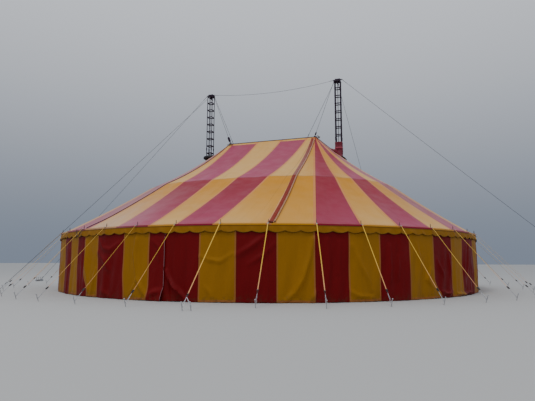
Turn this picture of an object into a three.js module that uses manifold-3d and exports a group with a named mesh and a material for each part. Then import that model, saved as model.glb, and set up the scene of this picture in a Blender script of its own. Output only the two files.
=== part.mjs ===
// A circus big top: a round striped tent whose laced roof hangs from two lattice king poles and
// stands on 42 side poles, with a plain wall, a scalloped valance, webbing guys and wire stays.
// Units are millimetres, +Z is up and X runs along the ridge. The origin is on the ground,
// straight below the middle of the ridge.
import * as THREE from 'three';
import { mergeVertices } from 'three/addons/utils/BufferGeometryUtils.js';
import Module from 'manifold-3d';

const wasm = await Module();
wasm.setup();

// Driving dimensions
const GAP = 0.3;
const CLOTH = 8;
const BAYS = 42;
const BAYS_PER_PANEL = 7;
const LACING_DEGREES = -71.99;
const CIRCLE_X = -214;
const POLE_CIRCLE = 12476;
const EAVE_HEIGHT = 3010;
const RIDGE_HEIGHT = 9707;
const RIDGE_LENGTH = 6047;
const KING_POLE_TOP = 13592;
const KING_POLE_X = 4614;

// Roof
const EDGE_RADIUS = 12534;
const MARGIN_RADIUS = 12436;
const RIDGE_CLOTH_RADIUS = 120;
const RING_PLACE = 0.45;
const RING_DROP = 118;
const OUTER_SAG = 72;
const INNER_SAG = 240;
const ROOF_ROWS = [0, 0.15, 0.3, RING_PLACE, 0.63, 0.82, 1];
const FAN_BAYS = 17.24;
const RIDGE_BAYS = [FAN_BAYS, 18.3, 19, 19.77, 21];
const RIDGE_PLACES = [0.5, 0.2166, -0.0963, -0.377, -0.5];
const PEAK_CUT = 240;

// Side poles, wall and valance
const POLE_RADIUS = 30;
const POLE_SIDES = 6;
const PIN_WIDTH = 18;
const PIN_LENGTH = 160;
const WALL_ROPE_WIDTH = 16;
const WALL_ROPE_HEIGHT = 2930;
const POLE_FLAT = POLE_RADIUS * Math.tan(Math.PI / POLE_SIDES);
const WALL_INNER = POLE_CIRCLE + POLE_RADIUS + POLE_FLAT * Math.tan(Math.PI / BAYS) + GAP;
const ENTRANCE_BAY = 39.72;
const ENTRANCE_OVERLAP = 0.16;
const LEAF_STEP = CLOTH + GAP;
const VALANCE_INNER = EDGE_RADIUS - CLOTH;
const VALANCE_DROP = 345;
const SCALLOP_DEPTH = 40;
const SCALLOPS_PER_BAY = 3;

// Guys
const BELT_INNER = 12446;
const BELT_OUTER = 12572;
const BELT_THICKNESS = 6;
const STRAP_WIDTH = 50;
const STRAP_THICKNESS = 8;
const STRAP_FOOT_HEIGHT = 130;
const STAKE_WIDTH = 30;
const STAKE_HEIGHT = 300;
const STAKE_LEAN = 90;
const STAKE_HOLD = 0.4;
const GUY_RUN = 2700;
const NEAR_GUY_RUNS = [1700, 2000, 1900, 2000, 2200, 2500];
const NEAR_GUY_SWINGS = [-440, -220, 50, 150, 200, 0];
const LEFT_GUY_RUNS = [2900, 2300, 2300, 2400, 2600];
const LEFT_GUY_SWINGS = [-450, -580, -730, -750, -200];

// King poles
const LATTICE_WIDTH = 360;
const CHORD_WIDTH = 48;
const RUNG_RADIUS = 24;
const RUNG_SPACING = 530;
const TOP_RUNG_HEIGHT = 12930;
const LATTICE_TOP = 13440;
const FOOT_PLATE_WIDTH = 760;
const FOOT_PLATE_HEIGHT = 25;
const HEAD_WIDTH = 400;
const HEAD_PLATE = 22;
const BLOCK_LENGTH = 360;
const BLOCK_WIDTH = 220;
const GUSSET_DEPTH = 190;
const GUSSET_TOP = 300;
const GUSSET_TIP = 60;
const GUSSET_THICKNESS = 40;
const COLLAR_HEIGHT = 60;
const LEFT_COLLAR_REACH = 330;
const RIGHT_COLLAR_REACH = 490;
const SLEEVE_PLACE = 0.8;
const LEFT_SLEEVE_TOP = 9000;
const RIGHT_SLEEVE_TOP = 9250;
const ROLL_REACH = 430;
const ROLL_BOTTOM = 8770;
const ROLL_TOP = 9010;

// Wires
const WIRE_RADIUS = 11;
const CROSS_WIRE_RADIUS = 13;
const CROSS_WIRE_SAG = 320;
const MAIN_ANCHOR_X = 19200;
const SIDE_ANCHOR = [6900, 14800];
const ARM_REACH = 245;
const ARM_WIDTH = 70;
const ARM_HEIGHT = 13535;
const ARM_DEPTH = 70;
const SIDE_ARM_HEIGHT = 13300;
const SIDE_ARM_DEPTH = 60;
const CLEVIS_LENGTH = 60;
const CLEVIS_WIDTH = 44;
const CLEVIS_GRIP = 0.85;
const HOIST_OFFSET = 240;
const HOIST_SPREAD = 60;
const HOIST_BLOCK = [60, 170, 100];
const SHACKLE = [90, 70, 170];
const SHACKLE_PIN_HEIGHT = 120;
const EYE = [60, 50, 80];
const LEFT_EYE_INSET = 180;
const RIGHT_EYE_INSET = 470;
const ANCHOR_LENGTH = 700;
const ANCHOR_WIDTH = 90;
const ANCHOR_HEIGHT = 110;
const ANCHOR_STAKE_RADIUS = 20;
const ANCHOR_STAKE_PROUD = 220;
const ANCHOR_STAKE_PLACE = 0.8;

// Lacing, ridge beam and quarter poles
const LACING_WIDTH = 340;
const BEAM_DEPTH = 70;
const BEAM_PROUD = 60;
const BEAM_CLEARANCE = 0.8;
const LUG_LENGTH = 120;
const LUG_THICKNESS = 24;
const LUG_HEIGHT = 130;
const QUARTER_RADIUS = 38;
const QUARTER_FIRST_BAY = 2;
const QUARTER_EVERY = 3;
const QUARTER_HEAD = 60;
const RING_ROPE_WIDTH = 18;
const RING_ROPE_DROP = 170;

// Colours
function finish(color, roughness, metalness = 0) {
  return new THREE.MeshStandardMaterial({ color, roughness, metalness });
}

const yellowCloth = () => finish(0xd9a01c, 0.6);
const redCloth = () => finish(0xa3101f, 0.6);
const blackCloth = () => finish(0x1c1a20, 0.8);
const paintedSteel = () => finish(0x2a2533, 0.5, 0.6);
const galvanised = () => finish(0x9a9da0, 0.45, 0.8);
const yellowWebbing = () => finish(0xe2b523, 0.7);
const wire = () => finish(0x6d7076, 0.4, 0.8);

// Plan of the tent: bay numbers run anticlockwise from the near lacing
const bayAngle = (bay) => THREE.MathUtils.degToRad(LACING_DEGREES) + (bay * 2 * Math.PI) / BAYS;

// The circle of side poles stands a little to the left of the middle of the ridge
function corner(bay, radius, z) {
  const angle = bayAngle(bay);
  return new THREE.Vector3(CIRCLE_X + radius * Math.cos(angle), radius * Math.sin(angle), z);
}

function onRing(bay, radius, z) {
  const before = Math.floor(bay + 1e-9);
  return corner(before, radius, z).lerp(corner(before + 1, radius, z), bay - before);
}

function interpolate(x, xs, ys) {
  const last = xs.length - 1;
  const next = THREE.MathUtils.clamp(xs.findIndex((value) => value >= x), 1, last);
  const share = THREE.MathUtils.clamp((x - xs[next - 1]) / (xs[next] - xs[next - 1]), 0, 1);
  return ys[next - 1] + share * (ys[next] - ys[next - 1]);
}

// Where the line from a side pole meets the cloth's top edge round the ridge beam
function ridgePoint(bay) {
  const turned = THREE.MathUtils.euclideanModulo(bay, BAYS);
  const side = turned < BAYS / 2 ? 1 : -1;
  const within = turned < BAYS / 2 ? turned : turned - BAYS / 2;
  const swing = (Math.min(within / FAN_BAYS, 1) - 0.5) * Math.PI;
  const along = within <= FAN_BAYS ? 0.5 : interpolate(within, RIDGE_BAYS, RIDGE_PLACES);
  return new THREE.Vector3(
    side * (RIDGE_LENGTH * along + RIDGE_CLOTH_RADIUS * Math.cos(swing)),
    side * RIDGE_CLOTH_RADIUS * Math.sin(swing),
    RIDGE_HEIGHT,
  );
}

// The cloth hangs in two shallow curves, from the eave to the quarter ring and on to the ridge
function roofHeight(place) {
  const straight = EAVE_HEIGHT + (RIDGE_HEIGHT - EAVE_HEIGHT) * place;
  const outer = place < RING_PLACE;
  const share = outer ? place / RING_PLACE : (1 - place) / (1 - RING_PLACE);
  const sag = outer ? OUTER_SAG : INNER_SAG;
  return straight - RING_DROP * share - 4 * sag * share * (1 - share);
}

function roofPoint(bay, place) {
  const point = onRing(bay, MARGIN_RADIUS, 0).lerp(ridgePoint(bay), place);
  point.z = roofHeight(place);
  return point;
}

// Solids
function solid(geometry) {
  const bare = geometry.clone();
  bare.deleteAttribute('normal');
  bare.deleteAttribute('uv');
  const merged = mergeVertices(bare);
  return new wasm.Manifold(new wasm.Mesh({
    numProp: 3,
    vertProperties: new Float32Array(merged.attributes.position.array),
    triVerts: new Uint32Array(merged.index.array),
  }));
}

const union = (solids) => solids.reduce((whole, next) => whole.add(next));

function geometryOf(shape) {
  const mesh = shape.getMesh();
  const geometry = new THREE.BufferGeometry();
  geometry.setAttribute('position', new THREE.BufferAttribute(new Float32Array(mesh.vertProperties), 3));
  geometry.setIndex(new THREE.BufferAttribute(new Uint32Array(mesh.triVerts), 1));
  geometry.computeVertexNormals();
  return geometry;
}

function box(low, high) {
  const size = high.map((value, axis) => value - low[axis]);
  const middle = high.map((value, axis) => (value + low[axis]) / 2);
  return solid(new THREE.BoxGeometry(...size).translate(...middle));
}

// An upright prism of the given distance across its flats, with one flat facing the angle
function prism(centre, flat, sides, bottom, top, facing = 0) {
  const radius = flat / Math.cos(Math.PI / sides);
  const geometry = new THREE.CylinderGeometry(radius, radius, top - bottom, sides);
  geometry.rotateX(Math.PI / 2);
  geometry.rotateZ(facing + Math.PI / 2 + Math.PI / sides);
  return solid(geometry.translate(centre.x, centre.y, (top + bottom) / 2));
}

// Turns a shape made along Z so that it runs from one point to another, its X side level
function layAlong(geometry, from, to) {
  const along = to.clone().sub(from).normalize();
  const up = Math.abs(along.z) > 0.99 ? new THREE.Vector3(0, 1, 0) : new THREE.Vector3(0, 0, 1);
  const side = up.clone().cross(along).normalize();
  const turn = new THREE.Matrix4().makeBasis(side, along.clone().cross(side), along);
  const middle = from.clone().add(to).multiplyScalar(0.5);
  return geometry.applyMatrix4(turn).translate(middle.x, middle.y, middle.z);
}

const flatBar = (from, to, width, thickness) =>
  solid(layAlong(new THREE.BoxGeometry(width, thickness, from.distanceTo(to)), from, to));

function roundBar(from, to, radius, sides = 6) {
  const geometry = new THREE.CylinderGeometry(radius, radius, from.distanceTo(to), sides);
  return solid(layAlong(geometry.rotateX(Math.PI / 2), from, to));
}

// A closed sheet between two grids of points, the outer one on the side where i cross j points
function sheet(inner, outer) {
  const columns = inner.length;
  const rows = inner[0].length;
  const points = [...inner.flat(), ...outer.flat()];
  const at = (layer, i, j) => (layer * columns + i) * rows + j;
  const index = [];
  const quad = (a, b, c, d) => index.push(a, b, c, a, c, d);
  for (let i = 0; i + 1 < columns; i += 1) {
    for (let j = 0; j + 1 < rows; j += 1) {
      quad(at(1, i, j), at(1, i + 1, j), at(1, i + 1, j + 1), at(1, i, j + 1));
      quad(at(0, i, j), at(0, i, j + 1), at(0, i + 1, j + 1), at(0, i + 1, j));
    }
    quad(at(0, i, 0), at(0, i + 1, 0), at(1, i + 1, 0), at(1, i, 0));
    quad(at(0, i + 1, rows - 1), at(0, i, rows - 1), at(1, i, rows - 1), at(1, i + 1, rows - 1));
  }
  for (let j = 0; j + 1 < rows; j += 1) {
    quad(at(0, 0, j + 1), at(0, 0, j), at(1, 0, j), at(1, 0, j + 1));
    quad(at(0, columns - 1, j), at(0, columns - 1, j + 1), at(1, columns - 1, j + 1), at(1, columns - 1, j));
  }
  const geometry = new THREE.BufferGeometry().setFromPoints(points);
  geometry.setIndex(index);
  return solid(geometry);
}

// Bay numbers from one end to the other, with every side pole between them
function baysBetween(first, last) {
  const bays = [first];
  for (let bay = Math.floor(first) + 1; bay < last - 1e-6; bay += 1) bays.push(bay);
  return [...bays, last];
}

// Roof cloth between two side poles, its cut edges drawn in by an even margin
function roofSkin(first, last, { lift = 0, thickness = CLOTH, drawIn = 0, margin = true } = {}) {
  const columns = baysBetween(first, last).map((bay) => {
    const points = ROOF_ROWS.map((place) => roofPoint(bay, place));
    if (margin) points.unshift(onRing(bay, EDGE_RADIUS, EAVE_HEIGHT));
    const run = points.at(-1).clone().sub(points[0]).setZ(0).normalize();
    const inwards = new THREE.Vector3(run.y, -run.x, 0);
    const shift = (bay === first ? drawIn : 0) - (bay === last ? drawIn : 0);
    return points.map((point) => point.clone().addScaledVector(inwards, shift));
  });
  const raise = (height) => columns.map((points) => points.map((p) => p.clone().setZ(p.z + height)));
  return sheet(raise(lift), raise(lift + thickness));
}

const kingPoles = [
  {
    side: 'left',
    x: -KING_POLE_X,
    reach: LEFT_COLLAR_REACH,
    sleeveTop: LEFT_SLEEVE_TOP,
    eyeInset: LEFT_EYE_INSET,
  },
  {
    side: 'right',
    x: KING_POLE_X,
    reach: RIGHT_COLLAR_REACH,
    sleeveTop: RIGHT_SLEEVE_TOP,
    eyeInset: RIGHT_EYE_INSET,
  },
];
const poleBlock = ({ x }, halfWidth, bottom, top) =>
  box([x - halfWidth, -halfWidth, bottom], [x + halfWidth, halfWidth, top]);

function roofPanel(number) {
  const first = number * BAYS_PER_PANEL;
  const panel = roofSkin(first, first + BAYS_PER_PANEL, { drawIn: GAP / 2 });
  const onPanel = kingPoles.filter((pole) => (pole.x > 0 ? number === 1 : number === 4));
  return onPanel.reduce((rest, pole) => rest.subtract(poleBlock(pole, PEAK_CUT, 0, KING_POLE_TOP)), panel);
}

// The red flap over the lacing, cut from a layer that lies on the roof cloth
function lacingFlap(bay) {
  const low = roofPoint(bay, 0.004);
  const high = roofPoint(bay, 0.992);
  const plan = flatBar(low.setZ(6000), high.setZ(6000), LACING_WIDTH, 12000);
  return roofSkin(bay - 2, bay + 4, { lift: CLOTH + GAP, thickness: CLOTH, margin: false }).intersect(plan);
}

// The cloth sleeve round a king pole, with its collar lying on the roof cloth. The left one is rolled
// down: its top is a thick roll
const SLEEVE_INNER = (LATTICE_WIDTH + CHORD_WIDTH) / 2 + GAP;

function sleeve(pole, roll = null) {
  const middle = pole.x > 0 ? 8 : 29;
  const onRoof = (lift, thickness) => roofSkin(middle - 4, middle + 5, { lift, thickness, margin: false });
  const depth = 2000;
  const underside = onRoof(CLOTH + GAP - depth, depth);
  const tube = poleBlock(pole, SLEEVE_INNER + CLOTH, roofHeight(SLEEVE_PLACE), pole.sleeveTop);
  const aboveRoof = union(roll ? [tube, roll] : [tube]).subtract(underside);
  const collar = onRoof(CLOTH + GAP, COLLAR_HEIGHT).intersect(poleBlock(pole, pole.reach, 0, KING_POLE_TOP));
  return aboveRoof.add(collar).subtract(poleBlock(pole, SLEEVE_INNER, -1, KING_POLE_TOP + 1));
}

// Wall, valance and entrance
function clothBand(bays, inner, bottomOf, top, outwardsOf = () => 0) {
  const side = (radius) => bays.map((bay) =>
    [bottomOf(bay), top].map((z) => onRing(bay, radius + outwardsOf(bay), z)));
  return sheet(side(inner), side(inner + CLOTH));
}

const joint = GAP / 2 / ((2 * Math.PI * POLE_CIRCLE) / BAYS);

function wallPanel(first, last) {
  return clothBand(baysBetween(first + joint, last - joint), WALL_INNER, () => 0, EAVE_HEIGHT - GAP);
}

// The left leaf steps out over the right one where the two overlap
function leftLeaf() {
  const end = ENTRANCE_BAY + ENTRANCE_OVERLAP / 2;
  const bays = [35 + joint, 36, 37, 38, 39, 39.4, 39.6, end];
  const outwards = (bay) => (bay > 39.5 ? LEAF_STEP : 0);
  return clothBand(bays, WALL_INNER, () => 0, EAVE_HEIGHT - GAP, outwards);
}

function valance(number) {
  const steps = BAYS_PER_PANEL * SCALLOPS_PER_BAY * 2;
  const first = number * BAYS_PER_PANEL;
  const bays = Array.from({ length: steps + 1 }, (_, step) => first + (step * BAYS_PER_PANEL) / steps);
  const hem = bays.map((_, step) => EAVE_HEIGHT - VALANCE_DROP + (step % 2 ? 0 : SCALLOP_DEPTH));
  bays[0] += joint;
  bays[steps] -= joint;
  return clothBand(bays, VALANCE_INNER, (bay) => hem[bays.indexOf(bay)], EAVE_HEIGHT - GAP);
}

// Side poles, joined by the rope that the wall hangs from
function sidePoles(number) {
  const first = number * BAYS_PER_PANEL;
  const parts = [];
  for (let bay = first; bay < first + BAYS_PER_PANEL; bay += 1) {
    const place = corner(bay, POLE_CIRCLE, 0);
    parts.push(prism(place, POLE_RADIUS, POLE_SIDES, 0, EAVE_HEIGHT - GAP, bayAngle(bay)));
    const from = corner(bay, POLE_CIRCLE, WALL_ROPE_HEIGHT);
    const to = corner(bay + 1, POLE_CIRCLE, WALL_ROPE_HEIGHT);
    const last = bay === first + BAYS_PER_PANEL - 1;
    const shorten = last ? POLE_RADIUS / Math.cos(Math.PI / POLE_SIDES) + GAP : 0;
    to.addScaledVector(from.clone().sub(to).normalize(), shorten);
    parts.push(flatBar(from, to, WALL_ROPE_WIDTH, WALL_ROPE_WIDTH));
  }
  return union(parts);
}

// Guys: a webbing belt on the roof's edge, and at each side pole its pin, a strap and a stake.
// Each foot has its run out from the pole and its swing to one side
function guyFoot(bay) {
  const half = BAYS / 2;
  const within = THREE.MathUtils.euclideanModulo(bay, half);
  const left = half - within;
  if (within < NEAR_GUY_RUNS.length) return [NEAR_GUY_RUNS[within], NEAR_GUY_SWINGS[within]];
  if (left <= LEFT_GUY_RUNS.length) return [LEFT_GUY_RUNS[left - 1], LEFT_GUY_SWINGS[left - 1]];
  return [GUY_RUN, 0];
}

function guy(bay) {
  const beltTop = EAVE_HEIGHT + CLOTH + GAP + BELT_THICKNESS;
  const pole = corner(bay, POLE_CIRCLE, 0);
  const [run, swing] = guyFoot(bay);
  const outwards = pole.clone().setX(pole.x - CIRCLE_X).normalize();
  const across = new THREE.Vector3(-outwards.y, outwards.x, 0);
  const foot = corner(bay, POLE_CIRCLE + run, 0).addScaledVector(across, swing);
  const away = foot.clone().sub(pole).normalize();
  const strapTop = corner(bay, BELT_OUTER - STRAP_THICKNESS, beltTop - BELT_THICKNESS / 2);
  const strap = flatBar(strapTop, foot.clone().setZ(STRAP_FOOT_HEIGHT), STRAP_WIDTH, STRAP_THICKNESS);
  const lean = (height) =>
    foot.clone().addScaledVector(away, STAKE_LEAN * (height / STAKE_HEIGHT - STAKE_HOLD)).setZ(height);
  const stake = flatBar(lean(-2 * STAKE_WIDTH), lean(STAKE_HEIGHT), STAKE_WIDTH, STAKE_WIDTH);
  const pin = prism(pole, PIN_WIDTH / 2, 4, beltTop - 2, beltTop + PIN_LENGTH, bayAngle(bay));
  return union([strap, stake, pin]);
}

function guys(number) {
  const first = number * BAYS_PER_PANEL - 0.5;
  const last = first + BAYS_PER_PANEL;
  const bottom = EAVE_HEIGHT + CLOTH + GAP;
  const bays = baysBetween(first + joint, last - joint);
  const rim = (z) => bays.map((bay) => [BELT_OUTER, BELT_INNER].map((radius) => onRing(bay, radius, z)));
  let belt = sheet(rim(bottom), rim(bottom + BELT_THICKNESS));
  for (let bay = Math.ceil(first); bay < last; bay += 1) belt = belt.add(guy(bay));
  const reach = MAIN_ANCHOR_X;
  return belt.intersect(box([-reach, -reach, 0], [reach, reach, KING_POLE_TOP]));
}

// King poles: four chords with square frames of rungs, on a foot plate
function lattice(pole) {
  const half = LATTICE_WIDTH / 2;
  const corners = [[-half, -half], [half, -half], [half, half], [-half, half]];
  const chord = CHORD_WIDTH / 2;
  const parts = corners.map(([x, y]) =>
    box([x - chord, y - chord, FOOT_PLATE_HEIGHT - 1], [x + chord, y + chord, LATTICE_TOP]));
  const levels = [LATTICE_TOP - RUNG_RADIUS];
  for (let z = TOP_RUNG_HEIGHT; z > RUNG_SPACING / 2; z -= RUNG_SPACING) levels.push(z);
  for (const z of levels) {
    corners.forEach(([x, y], i) => {
      const [nextX, nextY] = corners[(i + 1) % 4];
      const from = new THREE.Vector3(x, y, z);
      parts.push(roundBar(from, new THREE.Vector3(nextX, nextY, z), RUNG_RADIUS, 3));
    });
  }
  const plate = FOOT_PLATE_WIDTH / 2;
  parts.push(box([-plate, -plate, 0], [plate, plate, FOOT_PLATE_HEIGHT]));
  return union(parts).translate(pole.x, 0, 0);
}

// The head: a cap plate, the sheave block on it, a pointed gusset below and arms for the wires
function poleHead(pole) {
  const half = HEAD_WIDTH / 2;
  const bottom = LATTICE_TOP + GAP;
  const outline = new THREE.Shape([
    new THREE.Vector2(-GUSSET_TOP / 2, 0),
    new THREE.Vector2(GUSSET_TOP / 2, 0),
    new THREE.Vector2(GUSSET_TIP / 2, -GUSSET_DEPTH),
    new THREE.Vector2(-GUSSET_TIP / 2, -GUSSET_DEPTH),
  ]);
  const gusset = new THREE.ExtrudeGeometry(outline, { depth: GUSSET_THICKNESS, bevelEnabled: false });
  gusset.translate(0, 0, -GUSSET_THICKNESS / 2).rotateX(Math.PI / 2).translate(0, 0, bottom + 1);
  const blockBottom = bottom + HEAD_PLATE - 2;
  const [halfLength, halfWidth] = [BLOCK_LENGTH / 2, BLOCK_WIDTH / 2];
  const wide = ARM_WIDTH / 2;
  return union([
    box([-half, -half, bottom], [half, half, bottom + HEAD_PLATE]),
    box([-halfLength, -halfWidth, blockBottom], [halfLength, halfWidth, KING_POLE_TOP]),
    solid(gusset),
    box([-ARM_REACH, -wide, ARM_HEIGHT - ARM_DEPTH / 2], [ARM_REACH, wide, ARM_HEIGHT + ARM_DEPTH / 2]),
    box(
      [-wide, -ARM_REACH, SIDE_ARM_HEIGHT - SIDE_ARM_DEPTH / 2],
      [wide, ARM_REACH, SIDE_ARM_HEIGHT + SIDE_ARM_DEPTH / 2],
    ),
  ]).translate(pole.x, 0, 0);
}

// The eye that a wire ends in, face to face with the end of one of the head's arms
function fromArm(pole, facing, distance) {
  const height = facing.y === 0 ? ARM_HEIGHT : SIDE_ARM_HEIGHT;
  return new THREE.Vector3(pole.x, 0, height).addScaledVector(facing, ARM_REACH + distance);
}

const clevisEnd = (pole, facing) => fromArm(pole, facing, CLEVIS_LENGTH * CLEVIS_GRIP);

function clevis(pole, facing) {
  const [from, to] = [GAP, GAP + CLEVIS_LENGTH].map((distance) => fromArm(pole, facing, distance));
  return flatBar(from, to, CLEVIS_WIDTH, CLEVIS_LENGTH);
}

// Ridge beam under the top edge of the roof, with a lifting lug at each end
function ridgeBeam() {
  const radius = RIDGE_CLOTH_RADIUS - BEAM_CLEARANCE;
  const half = RIDGE_LENGTH / 2;
  const outline = new THREE.Shape();
  outline.absarc(half, 0, radius, -Math.PI / 2, Math.PI / 2, false);
  outline.absarc(-half, 0, radius, Math.PI / 2, (3 * Math.PI) / 2, false);
  const depth = BEAM_DEPTH + BEAM_PROUD;
  const beam = new THREE.ExtrudeGeometry(outline, { depth, bevelEnabled: false, curveSegments: 8 });
  const lugs = [-half, half].map((x) => box(
    [x - LUG_LENGTH / 2, -LUG_THICKNESS / 2, RIDGE_HEIGHT],
    [x + LUG_LENGTH / 2, LUG_THICKNESS / 2, RIDGE_HEIGHT + LUG_HEIGHT],
  ));
  return union([solid(beam.translate(0, 0, RIDGE_HEIGHT - BEAM_DEPTH)), ...lugs]);
}

// Two hoist wires from each king pole's head to the ridge: one to a shackle over the lug and one to
// an eye that stands on the beam further in
function hoists(pole) {
  const side = Math.sign(pole.x);
  const fitting = (x, bottom, [length, width, height]) =>
    box([x - length / 2, -width / 2, bottom], [x + length / 2, width / 2, bottom + height]);
  const lugX = (side * RIDGE_LENGTH) / 2;
  const lugTop = RIDGE_HEIGHT + LUG_HEIGHT + GAP;
  const eyeX = lugX - side * pole.eyeInset;
  const eyeBottom = RIDGE_HEIGHT + BEAM_PROUD + GAP;
  const blockX = pole.x - side * HOIST_OFFSET;
  const blockBottom = ARM_HEIGHT - ARM_DEPTH / 2 - GAP - HOIST_BLOCK[2];
  const start = (y) => new THREE.Vector3(blockX, y, blockBottom + HOIST_BLOCK[2] / 2);
  return union([
    fitting(blockX, blockBottom, HOIST_BLOCK),
    fitting(lugX, lugTop, SHACKLE),
    fitting(eyeX, eyeBottom, EYE),
    roundBar(new THREE.Vector3(lugX, 0, lugTop + SHACKLE_PIN_HEIGHT), start(-HOIST_SPREAD), WIRE_RADIUS),
    roundBar(new THREE.Vector3(eyeX, 0, eyeBottom + EYE[2] / 2), start(HOIST_SPREAD), WIRE_RADIUS),
  ]);
}

// The wire between the two heads, sagging, with an eye at each end
function crossWire() {
  const [left, right] = kingPoles;
  const inwards = [new THREE.Vector3(1, 0, 0), new THREE.Vector3(-1, 0, 0)];
  const ends = [clevisEnd(left, inwards[0]), clevisEnd(right, inwards[1])];
  const middle = new THREE.Vector3(0, 0, ARM_HEIGHT - 2 * CROSS_WIRE_SAG);
  const path = new THREE.QuadraticBezierCurve3(ends[0], middle, ends[1]);
  const corners = [[1, 0], [0, 1], [-1, 0], [0, -1]];
  const section = corners.map(([x, y]) => new THREE.Vector2(x, y).multiplyScalar(CROSS_WIRE_RADIUS));
  const settings = { steps: 12, extrudePath: path, bevelEnabled: false };
  const run = solid(new THREE.ExtrudeGeometry(new THREE.Shape(section), settings));
  return union([run, clevis(left, inwards[0]), clevis(right, inwards[1])]);
}

// A wire stay from a king pole's head to a staked anchor beam on the ground
function stay(pole, anchorX, anchorY) {
  const anchor = new THREE.Vector3(anchorX, anchorY, 0);
  const out = anchor.clone().sub(new THREE.Vector3(pole.x, 0, 0)).normalize();
  const across = new THREE.Vector3(-out.y, out.x, 0);
  const sideways = anchorY !== 0;
  const facing = new THREE.Vector3(sideways ? 0 : Math.sign(anchorX), Math.sign(anchorY), 0);
  const wireEnd = anchor.clone().setZ(ANCHOR_HEIGHT * 0.3);
  const wireWidth = 2 * WIRE_RADIUS;
  const run = flatBar(clevisEnd(pole, facing), wireEnd, wireWidth, wireWidth);
  const onBeam = (share) => anchor.clone().addScaledVector(across, (share * ANCHOR_LENGTH) / 2);
  const [from, to] = [onBeam(-1), onBeam(1)].map((end) => end.setZ(ANCHOR_HEIGHT / 2));
  const beam = flatBar(from, to, ANCHOR_WIDTH, ANCHOR_HEIGHT);
  const stakes = [-ANCHOR_STAKE_PLACE, ANCHOR_STAKE_PLACE].map((share) =>
    prism(onBeam(share), ANCHOR_STAKE_RADIUS, POLE_SIDES, 0, ANCHOR_HEIGHT + ANCHOR_STAKE_PROUD));
  return union([run, clevis(pole, facing), beam, ...stakes]);
}

// Quarter poles stand under the ring where the roof cloth kinks, joined by the ring rope
function quarterPoles(half) {
  const first = QUARTER_FIRST_BAY + (half * BAYS) / 2;
  const roof = roofSkin(first - 2, first + 22, { lift: -GAP, thickness: 900, margin: false });
  const poleCorner = QUARTER_RADIUS / Math.cos(Math.PI / POLE_SIDES);
  const parts = [];
  for (let bay = first; bay < first + BAYS / 2; bay += QUARTER_EVERY) {
    const place = roofPoint(bay, RING_PLACE);
    const next = roofPoint(bay + QUARTER_EVERY, RING_PLACE);
    parts.push(prism(place, QUARTER_RADIUS, POLE_SIDES, 0, place.z + QUARTER_HEAD, bayAngle(bay)));
    const last = bay + QUARTER_EVERY >= first + BAYS / 2;
    const from = place.clone().setZ(place.z - RING_ROPE_DROP);
    const to = next.clone().setZ(next.z - RING_ROPE_DROP);
    if (last) to.addScaledVector(from.clone().sub(to).normalize(), poleCorner + GAP);
    parts.push(flatBar(from, to, RING_ROPE_WIDTH, RING_ROPE_WIDTH));
  }
  return union(parts).subtract(roof);
}

const tent = new THREE.Group();
function add(name, shape, material) {
  const mesh = new THREE.Mesh(geometryOf(shape), material);
  mesh.name = name;
  tent.add(mesh);
}

for (const pole of kingPoles) {
  add(`king_pole_${pole.side}`, lattice(pole), paintedSteel());
  add(`king_pole_head_${pole.side}`, poleHead(pole), paintedSteel());
  add(`ridge_hoist_${pole.side}`, hoists(pole), wire());
  const side = Math.sign(pole.x);
  add(`main_stay_${pole.side}`, stay(pole, side * MAIN_ANCHOR_X, 0), wire());
  add(`side_stay_${pole.side}`, stay(pole, side * SIDE_ANCHOR[0], side * SIDE_ANCHOR[1]), wire());
}
const leftRoll = poleBlock(kingPoles[0], ROLL_REACH, ROLL_BOTTOM, ROLL_TOP);
add('pole_collar_left', sleeve(kingPoles[0], leftRoll), blackCloth());
add('pole_sleeve_right', sleeve(kingPoles[1]), redCloth());
add('cross_wire', crossWire(), wire());
add('ridge_beam', ridgeBeam(), paintedSteel());
add('lacing_flap_near', lacingFlap(0), redCloth());
add('lacing_flap_far', lacingFlap(BAYS / 2), redCloth());
for (let number = 0; number < BAYS / BAYS_PER_PANEL; number += 1) {
  const first = number * BAYS_PER_PANEL;
  const label = number + 1;
  add(`roof_panel_${label}`, roofPanel(number), yellowCloth());
  add(`valance_${label}`, valance(number), yellowCloth());
  if (first !== 35) add(`wall_panel_${label}`, wallPanel(first, first + BAYS_PER_PANEL), redCloth());
  add(`side_poles_${label}`, sidePoles(number), galvanised());
  add(`guys_${label}`, guys(number), yellowWebbing());
}
add('entrance_leaf_left', leftLeaf(), redCloth());
add('entrance_leaf_right', wallPanel(ENTRANCE_BAY - ENTRANCE_OVERLAP / 2, BAYS), redCloth());
add('quarter_poles_right', quarterPoles(0), galvanised());
add('quarter_poles_left', quarterPoles(1), galvanised());

export default tent;
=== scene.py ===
import math

import bpy
import numpy as np
from mathutils import Matrix, Vector


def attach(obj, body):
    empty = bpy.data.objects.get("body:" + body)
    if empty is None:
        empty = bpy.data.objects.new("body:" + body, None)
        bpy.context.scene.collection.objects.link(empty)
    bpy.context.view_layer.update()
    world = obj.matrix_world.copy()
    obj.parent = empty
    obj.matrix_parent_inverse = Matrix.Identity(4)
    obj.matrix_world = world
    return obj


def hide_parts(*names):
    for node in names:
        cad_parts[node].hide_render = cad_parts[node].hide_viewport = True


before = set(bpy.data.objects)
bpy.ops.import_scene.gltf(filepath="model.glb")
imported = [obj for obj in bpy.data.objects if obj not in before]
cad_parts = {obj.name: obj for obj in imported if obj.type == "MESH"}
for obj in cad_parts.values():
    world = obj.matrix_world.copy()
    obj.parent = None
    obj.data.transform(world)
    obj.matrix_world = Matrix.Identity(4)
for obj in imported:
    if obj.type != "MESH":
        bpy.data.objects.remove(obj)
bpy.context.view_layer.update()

# Plan of the tent, in metres. Bay numbers run anticlockwise from the near lacing, one for each side pole
BAYS = 42
HALF = BAYS // 2
SIXTH = BAYS // 6
LACING_ANGLE = math.radians(-71.99)
CIRCLE_X = -0.214
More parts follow.
